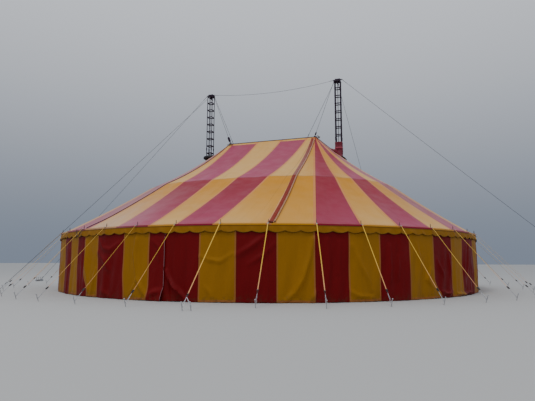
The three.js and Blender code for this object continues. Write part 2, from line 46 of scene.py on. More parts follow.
POLE_CIRCLE = 12.476
EAVE = 3.01
RIDGE = 9.707
RIDGE_END = 6.047 / 2
POLE_TOP = 13.592
KING_X = 4.614
BAY_WIDTH = 2 * math.pi * POLE_CIRCLE / BAYS
SIGN = {"left": -1, "right": 1}

# Roof. Places on it run from 0 at the eave to 1 at the ridge, with the kink ring between them
RING = 0.45
RING_DROP = 0.118
OUTER_SAG = 0.072
INNER_SAG = 0.24
BEAM_PROUD = 0.06
EDGE_RADIUS = 12.534
MARGIN_RADIUS = 12.436
RIDGE_RADIUS = 0.12
ROOF_TOP = 0.008
ROOF_RUN = 11.0
ROOF_COLUMNS = 11
FAN_BAYS = 17.24
RIDGE_BAYS = [FAN_BAYS, 18.3, 19.0, 19.83, 21.0]
RIDGE_PLACES = [0.5, 0.159, -0.13, -0.412, -0.5]
RIDGE_STRIP = 0.98
RIDGE_SEAM = 20.65
ROPE_SEAM = 16.12
GORES = [float(i) for i in range(16)] + [ROPE_SEAM, 17.37, 18.3, 19.0, 19.83, 21.0]
POLE_HOLE = 0.44
HOLE_LEVEL = 8.5

# Wall and valance. The near seams of the wall's panels are as in the picture, and the rest are evenly spaced
WALL_RADIUS = 12.5166
WALL_EDGES = [-6.3, -5.75, -5.26, -4.88, -4.28, -3.385, -2.64, -1.46, -0.667, 0.163,
              0.96, 1.70, 2.46, 3.245, 4.06, 4.82, 5.5, 6.42]
EVEN_PANELS = 11
WALL_HEM = 0.07
WALL_STEP = 0.055
WALL_TOP = EAVE - 0.0005
VALANCE_DROP = 0.345
VALANCE_STEPS = 36
SCALLOPS = 3
WALL_ROPE = 2.93
LEAF_OVERLAP = (39.64, 39.75)
SEEN_END = 6.5
NO_EDGE = 1.0

# Guys: how far each foot stands out from its pole, and how far to one side
GUY_RUN = 2.7
NEAR_RUNS = [1.7, 2.0, 1.9, 2.0, 2.2, 2.5]
NEAR_SWINGS = [-0.44, -0.22, 0.05, 0.15, 0.2, 0.0]
LEFT_RUNS = [2.9, 2.3, 2.3, 2.4, 2.6]
LEFT_SWINGS = [-0.45, -0.58, -0.73, -0.75, -0.2]
SECOND_STAKE = (2.84, -0.18)
STRAP = 0.034
NARROW_STRAP = 0.020
BELT_CIRCLE = 12.492
STRAP_TOP = 0.109
STRAP_FOOT = 0.12
RATCHET_BACK = 0.50
RATCHET_SIZE = 0.75
STAKE_LEAN = 0.3
STAKE_HEIGHT = 0.30

# Wires from the king poles' heads to the ground
MAIN_ANCHOR = 19.2
SIDE_ANCHOR = (6.9, 14.8)
TENSIONER = 0.58
WIRE = 0.009
CLAMP_STEP = 0.09

# King poles
MAST_HALF = 0.18
CHORD = 0.028
RUNG = 0.034
RUNG_STEP = 0.53
TOP_RUNG = 12.93
JOINT_LEVELS = (3.2, 6.4, 9.5)
CLEAT_LEVEL = 1.5
MAST_TOP = 13.44
WHEEL_LEVEL = MAST_TOP + 0.085
ARM_Z = 13.535
SIDE_ARM_Z = 13.3
ARM_REACH = 0.245
HOIST_REACH = 0.24
EYE_INSET = {"left": 0.18, "right": 0.47}
ROPE_RADIUS = 0.02
UPRIGHT = (math.pi / 2, 0, 0)
QUARTER_TURN = math.pi / 2


def bay_angle(bay):
    return LACING_ANGLE + np.asarray(bay, float) * 2 * math.pi / BAYS


def radial(bay):
    return np.stack([np.cos(bay_angle(bay)), np.sin(bay_angle(bay))], -1)


def turned_near(bay):
    """The bay number counted both ways from the near lacing."""
    return (np.asarray(bay, float) + HALF) % BAYS - HALF


def on_ring(bay, radius):
    """The point at a bay number on the tent's outline, which is straight between two side poles."""
    bay = np.asarray(bay, float)
    before = np.floor(bay + 1e-9)
    share = (bay - before)[..., None]
    flat = radial(before) * (1 - share) + radial(before + 1) * share
    return flat * np.asarray(radius)[..., None] + np.array([CIRCLE_X, 0.0])


def raised(flat, height):
    """Points on the plan, given their heights."""
    height = np.broadcast_to(np.asarray(height, float), flat.shape[:-1])
    return np.concatenate([flat, height[..., None]], -1)


def run_of(points, axis=0):
    """The distance along a line of points, or along each of many lines."""
    lengths = np.cumsum(np.linalg.norm(np.diff(points, axis=axis), axis=-1), axis=axis)
    return np.concatenate([np.zeros_like(lengths.take([0], axis)), lengths], axis)


def grid(across, up):
    return np.meshgrid(across, up, indexing="ij")


def ramp(value, low, high):
    share = np.clip((np.asarray(value, float) - low) / (high - low), 0, 1)
    return share * share * (3 - 2 * share)


def hill(value, middle, width, power=2):
    """1 at the middle, and down to 0 on both sides of it."""
    return np.exp(-(((value - middle) / width) ** power))


def waves(value, seed, lengths):
    """A few sine waves with fixed phases, as loose cloth has."""
    phases = np.random.RandomState(seed).uniform(0, 2 * math.pi, len(lengths))
    return sum(np.sin(2 * math.pi * value / length + phase) for length, phase in zip(lengths, phases)) / len(lengths)


def ridge_point(bay):
    """Where the line from a side pole meets the cloth's top edge round the ridge beam."""
    turned = np.mod(np.asarray(bay, float), BAYS)
    first_half = turned < HALF - 1e-9
    side = np.where(first_half, 1.0, -1.0)
    within = np.where(first_half, turned, turned - HALF)
    swing = (np.minimum(within / FAN_BAYS, 1) - 0.5) * math.pi
    along = np.where(within <= FAN_BAYS, 0.5, np.interp(within, RIDGE_BAYS, RIDGE_PLACES))
    x = side * (2 * RIDGE_END * along + RIDGE_RADIUS * np.cos(swing))
    return np.stack([x, side * RIDGE_RADIUS * np.sin(swing)], -1)


def roof_height(place):
    place = np.asarray(place, float)
    outer = place < RING
    share = np.where(outer, place / RING, (1 - place) / (1 - RING))
    sag = np.where(outer, OUTER_SAG, INNER_SAG)
    return EAVE + (RIDGE - EAVE) * place - RING_DROP * share - 4 * sag * share * (1 - share)


def roof_ripple(bay, place):
    """The cloth dips a little between the side poles, and fans of small creases leave the poles and the peaks."""
    dip = -0.032 * np.sin(np.pi * bay) ** 2 * (1 - place) * ramp(place, 0.0, 0.07)
    fans = 0.006 * np.cos(6 * math.pi * bay) * np.exp(-place / 0.05) * ramp(place, 0.0, 0.012)
    peaks = 0.005 * np.cos(4 * math.pi * bay) * np.exp((place - 1) / 0.07) * ramp(1 - place, 0.0, 0.02)
    drift = 0.008 * waves(bay + 3 * place, 5, [2.7, 4.1]) * ramp(place, 0.0, 0.1) * ramp(1 - place, 0.0, 0.1)
    return dip + fans + peaks + drift


def roof_point(bay, place, lift=ROOF_TOP):
    """A point on the roof cloth."""
    bay, place = np.broadcast_arrays(np.asarray(bay, float), np.asarray(place, float))
    flat = on_ring(bay, MARGIN_RADIUS) * (1 - place[..., None]) + ridge_point(bay) * place[..., None]
    return raised(flat, roof_height(place) + roof_ripple(bay, place) + lift)


# Mesh helpers
def pick(*pieces):
    bpy.ops.object.select_all(action="DESELECT")
    for piece in pieces:
        piece.select_set(True)
    bpy.context.view_layer.objects.active = pieces[0]


def settle(piece):
    """Puts a piece's place, turn and size in its mesh."""
    pick(piece)
    bpy.ops.object.transform_apply(location=True, rotation=True, scale=True)
    return piece


def shifted(piece, at, turn=Matrix()):
    """Turns a piece's mesh about the tent's middle, and then moves it."""
    piece.data.transform(Matrix.Translation(at) @ turn)
    return piece


def turn_by(angle, axis="Z"):
    return Matrix.Rotation(angle, 4, axis)


def turn_up_to(direction):
    """The turn that lays an upright piece along a direction."""
    return Vector((0, 0, 1)).rotation_difference(Vector(direction)).to_matrix().to_4x4()


def joined(name, *pieces):
    pick(*pieces)
    bpy.ops.object.join()
    pieces[0].name = pieces[0].data.name = name
    return pieces[0]


def apply_modifier(piece, kind, **settings):
    pick(piece)
    modifier = piece.modifiers.new(kind.title(), kind)
    for key, value in settings.items():
        setattr(modifier, key, value)
    bpy.ops.object.modifier_apply(modifier=modifier.name)
    return piece


def finished(piece, slot, finish, *nodes):
    """The last step for a piece: it rides on the tent. Cloth comes with its own finishes and is smooth all over."""
    settle(piece)
    if finish:
        piece.data.materials.clear()
        piece.data.materials.append(finish)
    bpy.ops.object.shade_smooth_by_angle(angle=math.radians(35 if finish else 60))
    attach(piece, "root")
    if nodes:
        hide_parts(*nodes)
    return piece


def linked(name, data):
    """A new object in the scene."""
    piece = bpy.data.objects.new(name, data)
    bpy.context.collection.objects.link(piece)
    return piece


def copy_of(piece, turn=0.0, shift=(0, 0, 0)):
    return shifted(linked(piece.name, piece.data.copy()), shift, turn_by(turn))


def mesh_of(name, points, faces, uv_name, uv):
    mesh = bpy.data.meshes.new(name)
    mesh.from_pydata(points, [], faces)
    mesh.uv_layers.new(name=uv_name).data.foreach_set("uv", np.asarray(uv, float).ravel())
    return mesh


def cloth(name, points, uv, finishes, slots=None, thickness=0.003, **layers):
    """A sheet from a grid of points, columns running anticlockwise and rows upwards, with its own map and values."""
    points, uv = np.asarray(points, float), np.asarray(uv, float)
    across, up = points.shape[:2]
    index = np.arange(across * up).reshape(across, up)
    quads = np.stack([index[:-1, :-1], index[1:, :-1], index[1:, 1:], index[:-1, 1:]], -1).reshape(-1, 4)
    mesh = mesh_of(name, points.reshape(-1, 3).tolist(), quads.tolist(), "cloth", uv.reshape(-1, 2)[quads.ravel()])
    for finish in finishes:
        mesh.materials.append(finish)
    for layer, values in layers.items():
        attribute = mesh.attributes.new(layer, "FLOAT", "POINT")
        attribute.data.foreach_set("value", np.broadcast_to(values, (across, up)).ravel().astype(np.float32))
    if slots is not None:
        slots = np.asarray(slots, np.int32)
        slots = slots if slots.ndim == 2 else np.repeat(slots[:, None], up - 1, axis=1)
        mesh.polygons.foreach_set("material_index", slots.ravel())
    piece = linked(name, mesh)
    pick(piece)
    bpy.ops.object.shade_smooth()
    return apply_modifier(piece, "SOLIDIFY", thickness=thickness, offset=-1) if thickness else piece


def run_along(name, points, size, sides=8, ends=True):
    """A rope of a radius, or a strap of a width and thickness, along points, with a map in metres along it."""
    if isinstance(size, tuple):
        w, t = size[0] / 2, size[1] / 2
        section = [(w, -t), (w, t), (-w, t), (-w, -t)]
    else:
        turns = [2 * math.pi * k / sides for k in range(sides)]
        section = [(size * math.cos(turn), size * math.sin(turn)) for turn in turns]
    points, corners = [Vector(point) for point in points], [Vector(corner) for corner in section]
    sides, count = len(section), len(points)
    far, round_it, verts, faces, uvs = [0.0], [0.0], [], [], []
    for one, other in zip(points, points[1:]):
        far.append(far[-1] + (other - one).length)
    for one, other in zip(corners, corners[1:] + corners[:1]):
        round_it.append(round_it[-1] + (other - one).length)
    for i, point in enumerate(points):
        ahead = (points[min(i + 1, count - 1)] - points[max(i - 1, 0)]).normalized()
        up = Vector((0, 0, 1)) if abs(ahead.z) < 0.995 else Vector((0, 1, 0))
        level = ahead.cross(up).normalized()
        over = level.cross(ahead).normalized()
        verts += [point + level * a + over * b for a, b in section]
    for i in range(count - 1):
        for k in range(sides):
            here, there, after = i * sides, (i + 1) * sides, (k + 1) % sides
            faces.append((here + k, there + k, there + after, here + after))
            uvs += [(round_it[k], far[i]), (round_it[k], far[i + 1]),
                    (round_it[k + 1], far[i + 1]), (round_it[k + 1], far[i])]
    if ends:
        faces += [tuple(range(sides)), tuple(reversed(range((count - 1) * sides, count * sides)))]
        uvs += [*section, *[(a, b + far[-1]) for a, b in reversed(section)]]
    return linked(name, mesh_of(name, verts, faces, "run", uvs))


def tube(radius, low, high, centre=(0, 0), sides=16, bevel=0.002):
    """An upright round bar with softened ends."""
    bpy.ops.mesh.primitive_cylinder_add(vertices=sides, radius=radius, depth=high - low,
                                        location=(*centre, (low + high) / 2))
    bar = bpy.context.object
    if bevel:
        apply_modifier(bar, "BEVEL", width=bevel, segments=1, limit_method="ANGLE")
    return settle(bar)


def wheel(radius, half, at, sides=20, bevel=0.006):
    """A wheel on an axle along Y."""
    return shifted(tube(radius, -half, half, sides=sides, bevel=bevel), at, turn_by(QUARTER_TURN, "X"))


def bar_between(start, end, radius, sides=10):
    """A round bar from one point to another."""
    start, end = Vector(start), Vector(end)
    bpy.ops.mesh.primitive_cylinder_add(vertices=sides, radius=radius, depth=(end - start).length)
    bar = bpy.context.object
    bar.rotation_mode = "QUATERNION"
    bar.rotation_quaternion = Vector((0, 0, 1)).rotation_difference(end - start)
    bar.location = (start + end) / 2
    return settle(bar)


def axle(at, reach, radius, sides=12):
    """A round bar along Y, as far on both sides of a point."""
    return bar_between(Vector(at) - Vector((0, reach, 0)), Vector(at) + Vector((0, reach, 0)), radius, sides)


def plate(size, centre, bevel=0.003):
    """A flat bar or block with softened edges."""
    bpy.ops.mesh.primitive_cube_add(size=1, location=centre)
    block = bpy.context.object
    block.scale = size
    settle(block)
    return apply_modifier(block, "BEVEL", width=bevel, segments=2, limit_method="ANGLE") if bevel else block


def ring(radius, wire, centre, turn=UPRIGHT, sides=16, wire_sides=8):
    bpy.ops.mesh.primitive_torus_add(major_radius=radius, minor_radius=wire, major_segments=sides,
                                     minor_segments=wire_sides, location=centre, rotation=turn)
    return settle(bpy.context.object)


# Finishes
def blank(name):
    made = bpy.data.materials.new(name)
    made.use_nodes = True
    return made, made.node_tree, made.node_tree.nodes["Principled BSDF"]


def feed(made, **inputs):
    """Sets a node's inputs, by name or as i and a number: each to a value or to another node's output."""
    for key, value in inputs.items():
        socket = made.inputs[int(key[1:])] if key[1:].isdigit() else made.inputs[key.replace("_", " ")]
        if isinstance(value, bpy.types.NodeSocket):
            made.id_data.links.new(value, socket)
        else:
            socket.default_value = value
    return made


def node(tree, kind, settings=None, **inputs):
    made = tree.nodes.new("ShaderNode" + kind)
    for key, value in (settings or {}).items():
        setattr(made, key, value)
    return feed(made, **inputs)


def attribute_of(tree, name):
    return node(tree, "Attribute", {"attribute_name": name}).outputs["Fac"]


def place_in(tree):
    return node(tree, "TexCoord").outputs["Object"]


def height_in(tree):
    return node(tree, "SeparateXYZ", Vector=place_in(tree)).outputs["Z"]


def map_in(tree, name):
    return node(tree, "UVMap", {"uv_map": name}).outputs["UV"]


def sums(operation, a, b=0.0):
    return node(a.id_data, "Math", {"operation": operation}, i0=a, i1=b).outputs[0]


def between(value, low, high, start=0.0, end=1.0):
    """start where the value is low, end where it is high, and smooth between them."""
    return node(value.id_data, "MapRange", {"interpolation_type": "SMOOTHSTEP"}, Value=value, From_Min=low,
                From_Max=high, To_Min=start, To_Max=end).outputs["Result"]


def mixed(share, first, second):
    return node(share.id_data, "Mix", {"data_type": "RGBA"}, Factor=share, i6=first, i7=second).outputs[2]


def noise_of(vector, scale, detail=3.0, roughness=0.5, stretch=None):
    if stretch:
        vector = node(vector.id_data, "Mapping", Vector=vector, Scale=(*stretch, 1.0)).outputs["Vector"]
    return node(vector.id_data, "TexNoise", Vector=vector, Scale=scale, Detail=detail,
                Roughness=roughness).outputs["Fac"]


def ribs_of(vector, direction, scale):
    return node(vector.id_data, "TexWave", {"bands_direction": direction}, Vector=vector, Scale=scale).outputs["Fac"]


def colour(r, g, b):
    return (r, g, b, 1.0)


def shade(rgba, by):
    return tuple(min(1.0, c * by) for c in rgba[:3]) + (1.0,)


def bumped(shader, *heights):
    """Joins one bump after another: a height with its strength and depth for each."""
    for height, strength, distance in heights:
        made = node(shader.id_data, "Bump", Height=height, Strength=strength, Distance=distance)
        if shader.inputs["Normal"].is_linked:
            feed(made, Normal=shader.inputs["Normal"].links[0].from_socket)
        feed(shader, Normal=made.outputs["Normal"])


def coated_cloth(name, base, hem=None, hem_width=0.05, pale=None, roughness=0.42, foot=False, gloss=0.4, sheen=0.0):
    """Coated tent cloth: a fine weave under a satin skin, with fading and painted sky reflection, drip marks, sewn
    edges, a painted shadow line on the valance and a dirty foot.
    """
    made, tree, shader = blank(name)
    place, cut, edge = place_in(tree), map_in(tree, "cloth"), attribute_of(tree, "edge")
    tone = mixed(noise_of(place, 0.5, 2.0), shade(base, 0.88), shade(base, 1.12))
    # Paler where the layer asks: fading together with a painted reflection of the sky
    if pale:
        patchy = between(noise_of(cut, 1.0, stretch=(0.8, 0.35)), 0.2, 0.8, 0.82, 1.12)
        tone = mixed(sums("MULTIPLY", attribute_of(tree, "bloom"), patchy), tone, pale)
    drips = noise_of(cut, 1.0, 4.0, 0.6, stretch=(5.0, 0.35))
    tone = mixed(between(drips, 0.52, 0.8, 0.0, 0.25), tone, shade(base, 0.62))
    if hem:
        tone = mixed(between(edge, hem_width * 1.1, hem_width * 0.9, 0.0, 0.8), tone, hem)
    # A lilac painted reflection of the sky over the cloth, where the second layer asks for it
    if pale:
        tone = mixed(attribute_of(tree, "haze"), tone, SKY_SHEEN_TONE)
    stitch = sums("ABSOLUTE", sums("SUBTRACT", edge, hem_width * 0.8))
    tone = mixed(between(stitch, 0.004, 0.0015, 0.0, 0.4), tone, shade(base, 0.45))
    tone = mixed(between(edge, 0.009, 0.002, 0.0, 0.6), tone, shade(base, 0.3))
    # Dark lines where the seam layer asks: sewn seams, and on the valance a painted shadow line under the roof's lip
    tone = mixed(between(attribute_of(tree, "seam"), 0.026, 0.012, 0.0, 0.6), tone, shade(base, 0.3))
    if foot:
        speckle = between(noise_of(place, 7.0, 5.0, 0.65), 0.42, 0.68)
        mud = sums("MULTIPLY", between(height_in(tree), 0.42, 0.0), speckle)
        tone = mixed(sums("MULTIPLY", mud, 0.45), tone, MUD)
    feed(shader, Base_Color=tone, Specular_IOR_Level=gloss, Sheen_Weight=sheen, Sheen_Roughness=0.35,
         Roughness=between(noise_of(place, 1.7), 0.3, 0.7, roughness - 0.05, roughness + 0.08))
    threads = 1 / 0.004 / 3.14
    bumped(shader, (noise_of(cut, 2.6, 4.0, 0.55, stretch=(1.0, 0.45)), 0.3, 0.02),
           (between(edge, hem_width, hem_width * 0.85), 0.5, 0.003),
           (sums("ADD", ribs_of(cut, "X", threads), ribs_of(cut, "Y", threads)), 0.12, 0.0006))
    return made


def webbing(name, base, worn=None):
    """Woven strap: ribs across it and some grime, and a faded, soiled lower end."""
    made, tree, shader = blank(name)
    cut = map_in(tree, "run")
    ribs = ribs_of(cut, "Y", 80.0)
    tone = mixed(ribs, shade(base, 0.82), shade(base, 1.06))
    if worn:
        tone = mixed(between(height_in(tree), 1.9, 0.5, 0.0, 0.8), tone, worn)
    grime = noise_of(cut, 1.0, 4.0, 0.6, stretch=(6.0, 1.6))
    tone = mixed(between(grime, 0.5, 0.78, 0.0, 0.5), tone, shade(base, 0.5))
    feed(shader, Base_Color=tone, Roughness=0.75, Sheen_Weight=0.2)
    bumped(shader, (ribs, 0.5, 0.0015))
    return made


def twisted(name, base, pitch, radius, metallic=0.0, roughness=0.8):
    """Rope or wire: three strands that wind round it."""
    made, tree, shader = blank(name)
    parts = node(tree, "SeparateXYZ", Vector=map_in(tree, "run")).outputs
    round_it = sums("MULTIPLY", parts["X"], 3 / (2 * math.pi * radius))
    lay = sums("ADD", round_it, sums("MULTIPLY", parts["Y"], 1 / pitch))
    strands = sums("ABSOLUTE", sums("SINE", sums("MULTIPLY", lay, math.pi)))
    # Painted shade in the grooves between the strands, and a painted highlight on their crowns
    tone = mixed(strands, shade(base, 0.45), shade(base, 1.15))
    tone = mixed(between(noise_of(place_in(tree), 3.0, 4.0), 0.5, 0.8, 0.0, 0.4), tone, shade(base, 0.6))
    feed(shader, Base_Color=tone, Metallic=metallic, Roughness=roughness)
    bumped(shader, (strands, 0.8, radius * 0.4))
    return made


def zinc(name, base, rust):
    """Galvanised steel: mottled crystals, dull patches and a little rust."""
    made, tree, shader = blank(name)
    place = place_in(tree)
    cells = node(tree, "TexVoronoi", {"feature": "F1"}, Vector=place, Scale=55.0).outputs["Color"]
    tone = mixed(node(tree, "SeparateColor", Color=cells).outputs[0], shade(base, 0.8), shade(base, 1.15))
    stains = noise_of(place, 9.0, 6.0, 0.65)
    rusty = between(stains, 0.6, 0.75, 0.0, rust)
    feed(shader, Base_Color=mixed(rusty, tone, RUST), Metallic=between(rusty, 0.0, 0.5, 0.9, 0.2),
         Roughness=between(stains, 0.3, 0.7, 0.38, 0.62))
    bumped(shader, (stains, 0.2, 0.002))
    return made


def painted(name, base, chips):
    """Painted steel with chips, scuffs and rust in the chips."""
    made, tree, shader = blank(name)
    scuffs = noise_of(place_in(tree), 14.0, 6.0, 0.7)
    tone = mixed(noise_of(place_in(tree), 1.3), shade(base, 0.75), shade(base, 1.35))
    tone = mixed(between(scuffs, 0.56, 0.62, 0.0, chips), tone, shade(base, 3.0))
    tone = mixed(between(scuffs, 0.66, 0.7), tone, RUST_IN_CHIPS)
    feed(shader, Base_Color=tone, Roughness=between(scuffs, 0.4, 0.7, 0.5, 0.75), Specular_IOR_Level=0.25)
    bumped(shader, (scuffs, 0.25, 0.0015))
    return made


# The wall's yellow is the roof's yellow darkened as painted shade
WALL_YELLOW_IN_SHADE = colour(0.33, 0.142, 0.001)
# The lilac of a painted sky reflection on the roof
SKY_SHEEN_TONE = colour(0.50, 0.33, 0.33)
MUD = colour(0.05, 0.043, 0.018)
RUST = colour(0.16, 0.07, 0.03)
RUST_IN_CHIPS = colour(0.11, 0.045, 0.02)

# The roof's pale colours are faded cloth together with a painted reflection of the sky
roof_yellow = coated_cloth("roof cloth yellow", colour(0.61, 0.25, 0.0005), colour(0.66, 0.23, 0.08), 0.11,
                           pale=colour(0.74, 0.45, 0.15), roughness=0.46, gloss=0.12, sheen=0.08)
roof_red = coated_cloth("roof cloth red", colour(0.285, 0.001, 0.018), pale=colour(0.41, 0.055, 0.13),
                        roughness=0.46, gloss=0.15, sheen=0.10)
# Wall and valance cloth: the roof's colours darkened as painted shade, the valance a little darker again
wall_yellow = coated_cloth("wall cloth yellow", WALL_YELLOW_IN_SHADE, colour(0.365, 0.125, 0.034), 0.065, roughness=0.6, foot=True,
                           gloss=0.22)
wall_red = coated_cloth("wall cloth red", colour(0.165, 0.0005, 0.0022), roughness=0.55, foot=True, gloss=0.15)
valance_yellow = coated_cloth("valance cloth yellow", shade(WALL_YELLOW_IN_SHADE, 0.9), roughness=0.6, gloss=0.22)
# The flap's pale colour is fading together with a painted sky reflection, as on the roof
flap_red = coated_cloth("lacing flap cloth", colour(0.235, 0.022, 0.008), pale=colour(0.30, 0.13, 0.11),
                        roughness=0.55, gloss=0.12)
flap_edge = coated_cloth("lacing flap edge cloth", colour(0.66, 0.32, 0.12), roughness=0.5)
# The piping's colour is darkened as painted shade: it stands for the shadow line under the valance's hem
shaded_piping_cloth = coated_cloth("hem piping", colour(0.13, 0.075, 0.012), roughness=0.7, gloss=0.1)
black_cloth = coated_cloth("black cloth", colour(0.012, 0.011, 0.016), roughness=0.6)
sleeve_red = coated_cloth("sleeve cloth", colour(0.16, 0.004, 0.02), roughness=0.5)
sleeve_band = coated_cloth("sleeve band cloth", colour(0.40, 0.06, 0.10), roughness=0.5)
guy_yellow = webbing("yellow webbing", colour(0.95, 0.57, 0.04), colour(0.84, 0.36, 0.20))
belt_webbing = webbing("eave belt webbing", colour(0.50, 0.30, 0.04))
wire_rope = twisted("wire rope", colour(0.075, 0.078, 0.09), 0.07, 0.011, metallic=0.6, roughness=0.5)
pale_rope = twisted("pale rope", colour(0.72, 0.62, 0.52), 0.03, 0.006)
entrance_rope = twisted("entrance cord", colour(0.44, 0.20, 0.22), 0.03, 0.006)
lacing_rope = twisted("lacing rope", colour(0.16, 0.02, 0.02), 0.03, 0.008)
dark_rope = twisted("dark rope", colour(0.04, 0.03, 0.04), 0.04, 0.01)
grey_rope = twisted("grey rope", colour(0.19, 0.16, 0.15), 0.05, 0.02)
galvanised = zinc("galvanised steel", colour(0.42, 0.43, 0.45), 0.25)
bright_steel = zinc("bright steel", colour(0.50, 0.51, 0.53), 0.2)
dull_steel = zinc("dull steel", colour(0.13, 0.12, 0.12), 0.4)
mast_paint = painted("king pole paint", colour(0.022, 0.010, 0.026), 0.22)


# Roof: one half made as one sheet, and its twin turned half round
def roof_columns():
    """Bay numbers of the sheet's columns: even steps between the edges of the gores, and one column on each edge."""
    columns = []
    for first, last in zip(GORES, GORES[1:]):
        steps = max(3, round((last - first) * ROOF_COLUMNS))
        columns += list(np.linspace(first, last, steps + 1)[:-1])
    return np.array(columns + [GORES[-1]])


def roof_fade_and_sky_sheen(within, places):
    """How pale the cloth is, as fading together with a painted sky reflection: most just above the ring and low down
    towards the left, and a lilac painted sky reflection on some gores.
    """
    turned = turned_near(np.where(within > 10, within + HALF, within))[:, None]
    within, places = within[:, None], places[None, :]
    below_ring = np.clip(1 - places / RING, 0, 1)
    low = 0.85 * below_ring ** 1.6 * ramp(places, -0.008, 0.016)
    low = low * (1 + 0.3 * hill(turned, -4.0, 1.3)) * (1 - 0.55 * hill(turned, 0.6, 1.3))
    at_ridge = 0.12 + 0.5 * ramp(within, FAN_BAYS - 0.6, FAN_BAYS + 0.2)
    high = at_ridge + (0.86 - at_ridge) * np.clip((1 - places) / (1 - RING), 0, 1) ** 0.9
    bloom = np.where(places < RING, low, high * (1 - 0.75 * hill(turned, 1.7, 1.25)))
    # A second, lilac painted sky reflection: on some gores, and low down on the left below the ring
    haze = 0.42 * ramp(within, 11.5, 14.5) * (within < ROPE_SEAM + 0.001)
    haze = haze + 0.3 * ramp(within, 4.0, 6.0) * ramp(9.5 - within, 0.0, 2.5)
    haze = haze * (0.6 + 0.4 * ramp(places, 0.0, 0.3))
    return bloom, np.maximum(haze, 0.45 * hill(turned, -4.2, 1.0) * below_ring)


def roof_half(name, first):
    """One half of the roof, from a number of bays on. A yellow strip runs along its ridge."""
    within = roof_columns()
    bays = within + first
    rows = np.concatenate([np.linspace(0, 0.06, 8)[:-1], np.linspace(0.06, RING - 0.004, 30), [RING],
                           np.linspace(RING + 0.004, RIDGE_STRIP, 40), np.linspace(RIDGE_STRIP, 1, 5)[1:]])
    eave = [raised(on_ring(bays, EDGE_RADIUS + out), EAVE + up)
            for out, up in ((0.007, -0.055), (0.009, -0.02), (0.008, 0.004), (-0.002, ROOF_TOP))]
    points = np.concatenate([np.stack(eave, 1), roof_point(*grid(bays, rows))], 1)
    places = np.concatenate([np.zeros(len(eave)), rows])
    run = run_of(points, 1)
    uv = np.stack([np.broadcast_to(bays[:, None] * BAY_WIDTH, run.shape), run], -1)
    spread = np.linalg.norm(np.diff(points, axis=0), axis=2) / np.diff(bays)[:, None]
    spread = np.concatenate([spread, spread[-1:]], 0)
    edge = np.min(np.abs(within[:, None] - np.array(GORES)), axis=1)[:, None] * spread
    seam = np.minimum(np.abs(within - RIDGE_SEAM)[:, None] * spread, np.abs(places - RING) * ROOF_RUN)
    bloom, haze = roof_fade_and_sky_sheen(within, places)
    # Gores are yellow and red by turns
    reds = (np.searchsorted(GORES, (within[1:] + within[:-1]) / 2, side="right") - 1) % 2
    on_ridge = (within[1:] > FAN_BAYS + 1e-6)[:, None] & (places[:-1] > RIDGE_STRIP - 0.0005)[None, :]
    half = cloth(name, points, uv, [roof_yellow, roof_red], np.where(on_ridge, 0, reds[:, None]),
                 edge=edge, seam=seam, bloom=bloom, haze=haze)
    cutter = plate((POLE_HOLE, POLE_HOLE, 3), (-KING_X if first else KING_X, 0, HOLE_LEVEL), 0)
    apply_modifier(half, "BOOLEAN", object=cutter, operation="DIFFERENCE", solver="EXACT")
    bpy.data.objects.remove(cutter)
    panels = [first // SIXTH + n for n in (1, 2, 3)]
    finished(half, "roof_cloth", None, *[f"roof_panel_{n}" for n in panels])


roof_half("roof_half_right", 0)
roof_half("roof_half_left", HALF)

# Lacing: a red flap over it, and beside the flap the loops and the line that pass through them
LACING_ROWS = np.concatenate([np.linspace(0.004, RING, 60)[:-1], np.linspace(RING, 0.992, 80)])
FLAP_ACROSS = np.array([-0.155, -0.148, -0.118, -0.112, -0.06, 0.0, 0.04, 0.06, 0.067])
FLAP_MIDDLE = -0.044


def lacing_lines(bay, offsets, rows=LACING_ROWS):
    """Lines up the roof at distances to the right of a bay number. They lean a little to the left at the top."""
    line = roof_point(np.full(len(rows), bay), rows)
    ahead = np.gradient(line[:, :2], axis=0)
    side = np.stack([ahead[:, 1], -ahead[:, 0]], -1)
    side /= np.linalg.norm(side, axis=1, keepdims=True)
    lean = 0.09 - 0.16 * rows - 0.07 * hill(rows, 0.55, 0.22)
    lines = []
    for offset in offsets:
        beside = line.copy()
        beside[:, :2] += side * (offset + lean)[:, None]
        beside[:, 2] -= 0.02 * ramp(rows, 0.9, 1.0)
        lines.append(beside)
    return lines, run_of(line)


def lacing_flap(bay, side):
    lines, run = lacing_lines(bay, FLAP_ACROSS)
    pucker = 0.005 * np.abs(waves(run, 3, [0.31, 0.47]))
    for strip, offset in zip(lines, FLAP_ACROSS):
        strip[:, 2] += 0.008 + 0.014 * (1 - ((offset - FLAP_MIDDLE) / 0.112) ** 2) + pucker
    # Paler above the ring: fading together with a painted sky reflection, as on the roof
    bloom = 0.8 * (LACING_ROWS > RING + 0.001) * ramp(1.1 - LACING_ROWS, 0.0, 0.5)
    flap = cloth(f"lacing_flap_cloth_{side}", lines, np.stack(grid(FLAP_ACROSS, run), -1), [flap_red, flap_edge],
                 [1, 1, 1, 0, 0, 0, 0, 0], edge=(0.12 - np.abs(FLAP_ACROSS - FLAP_MIDDLE))[:, None], seam=NO_EDGE,
                 bloom=bloom[None, :])
    finished(flap, "lacing_cloth", None, f"lacing_flap_{side}")


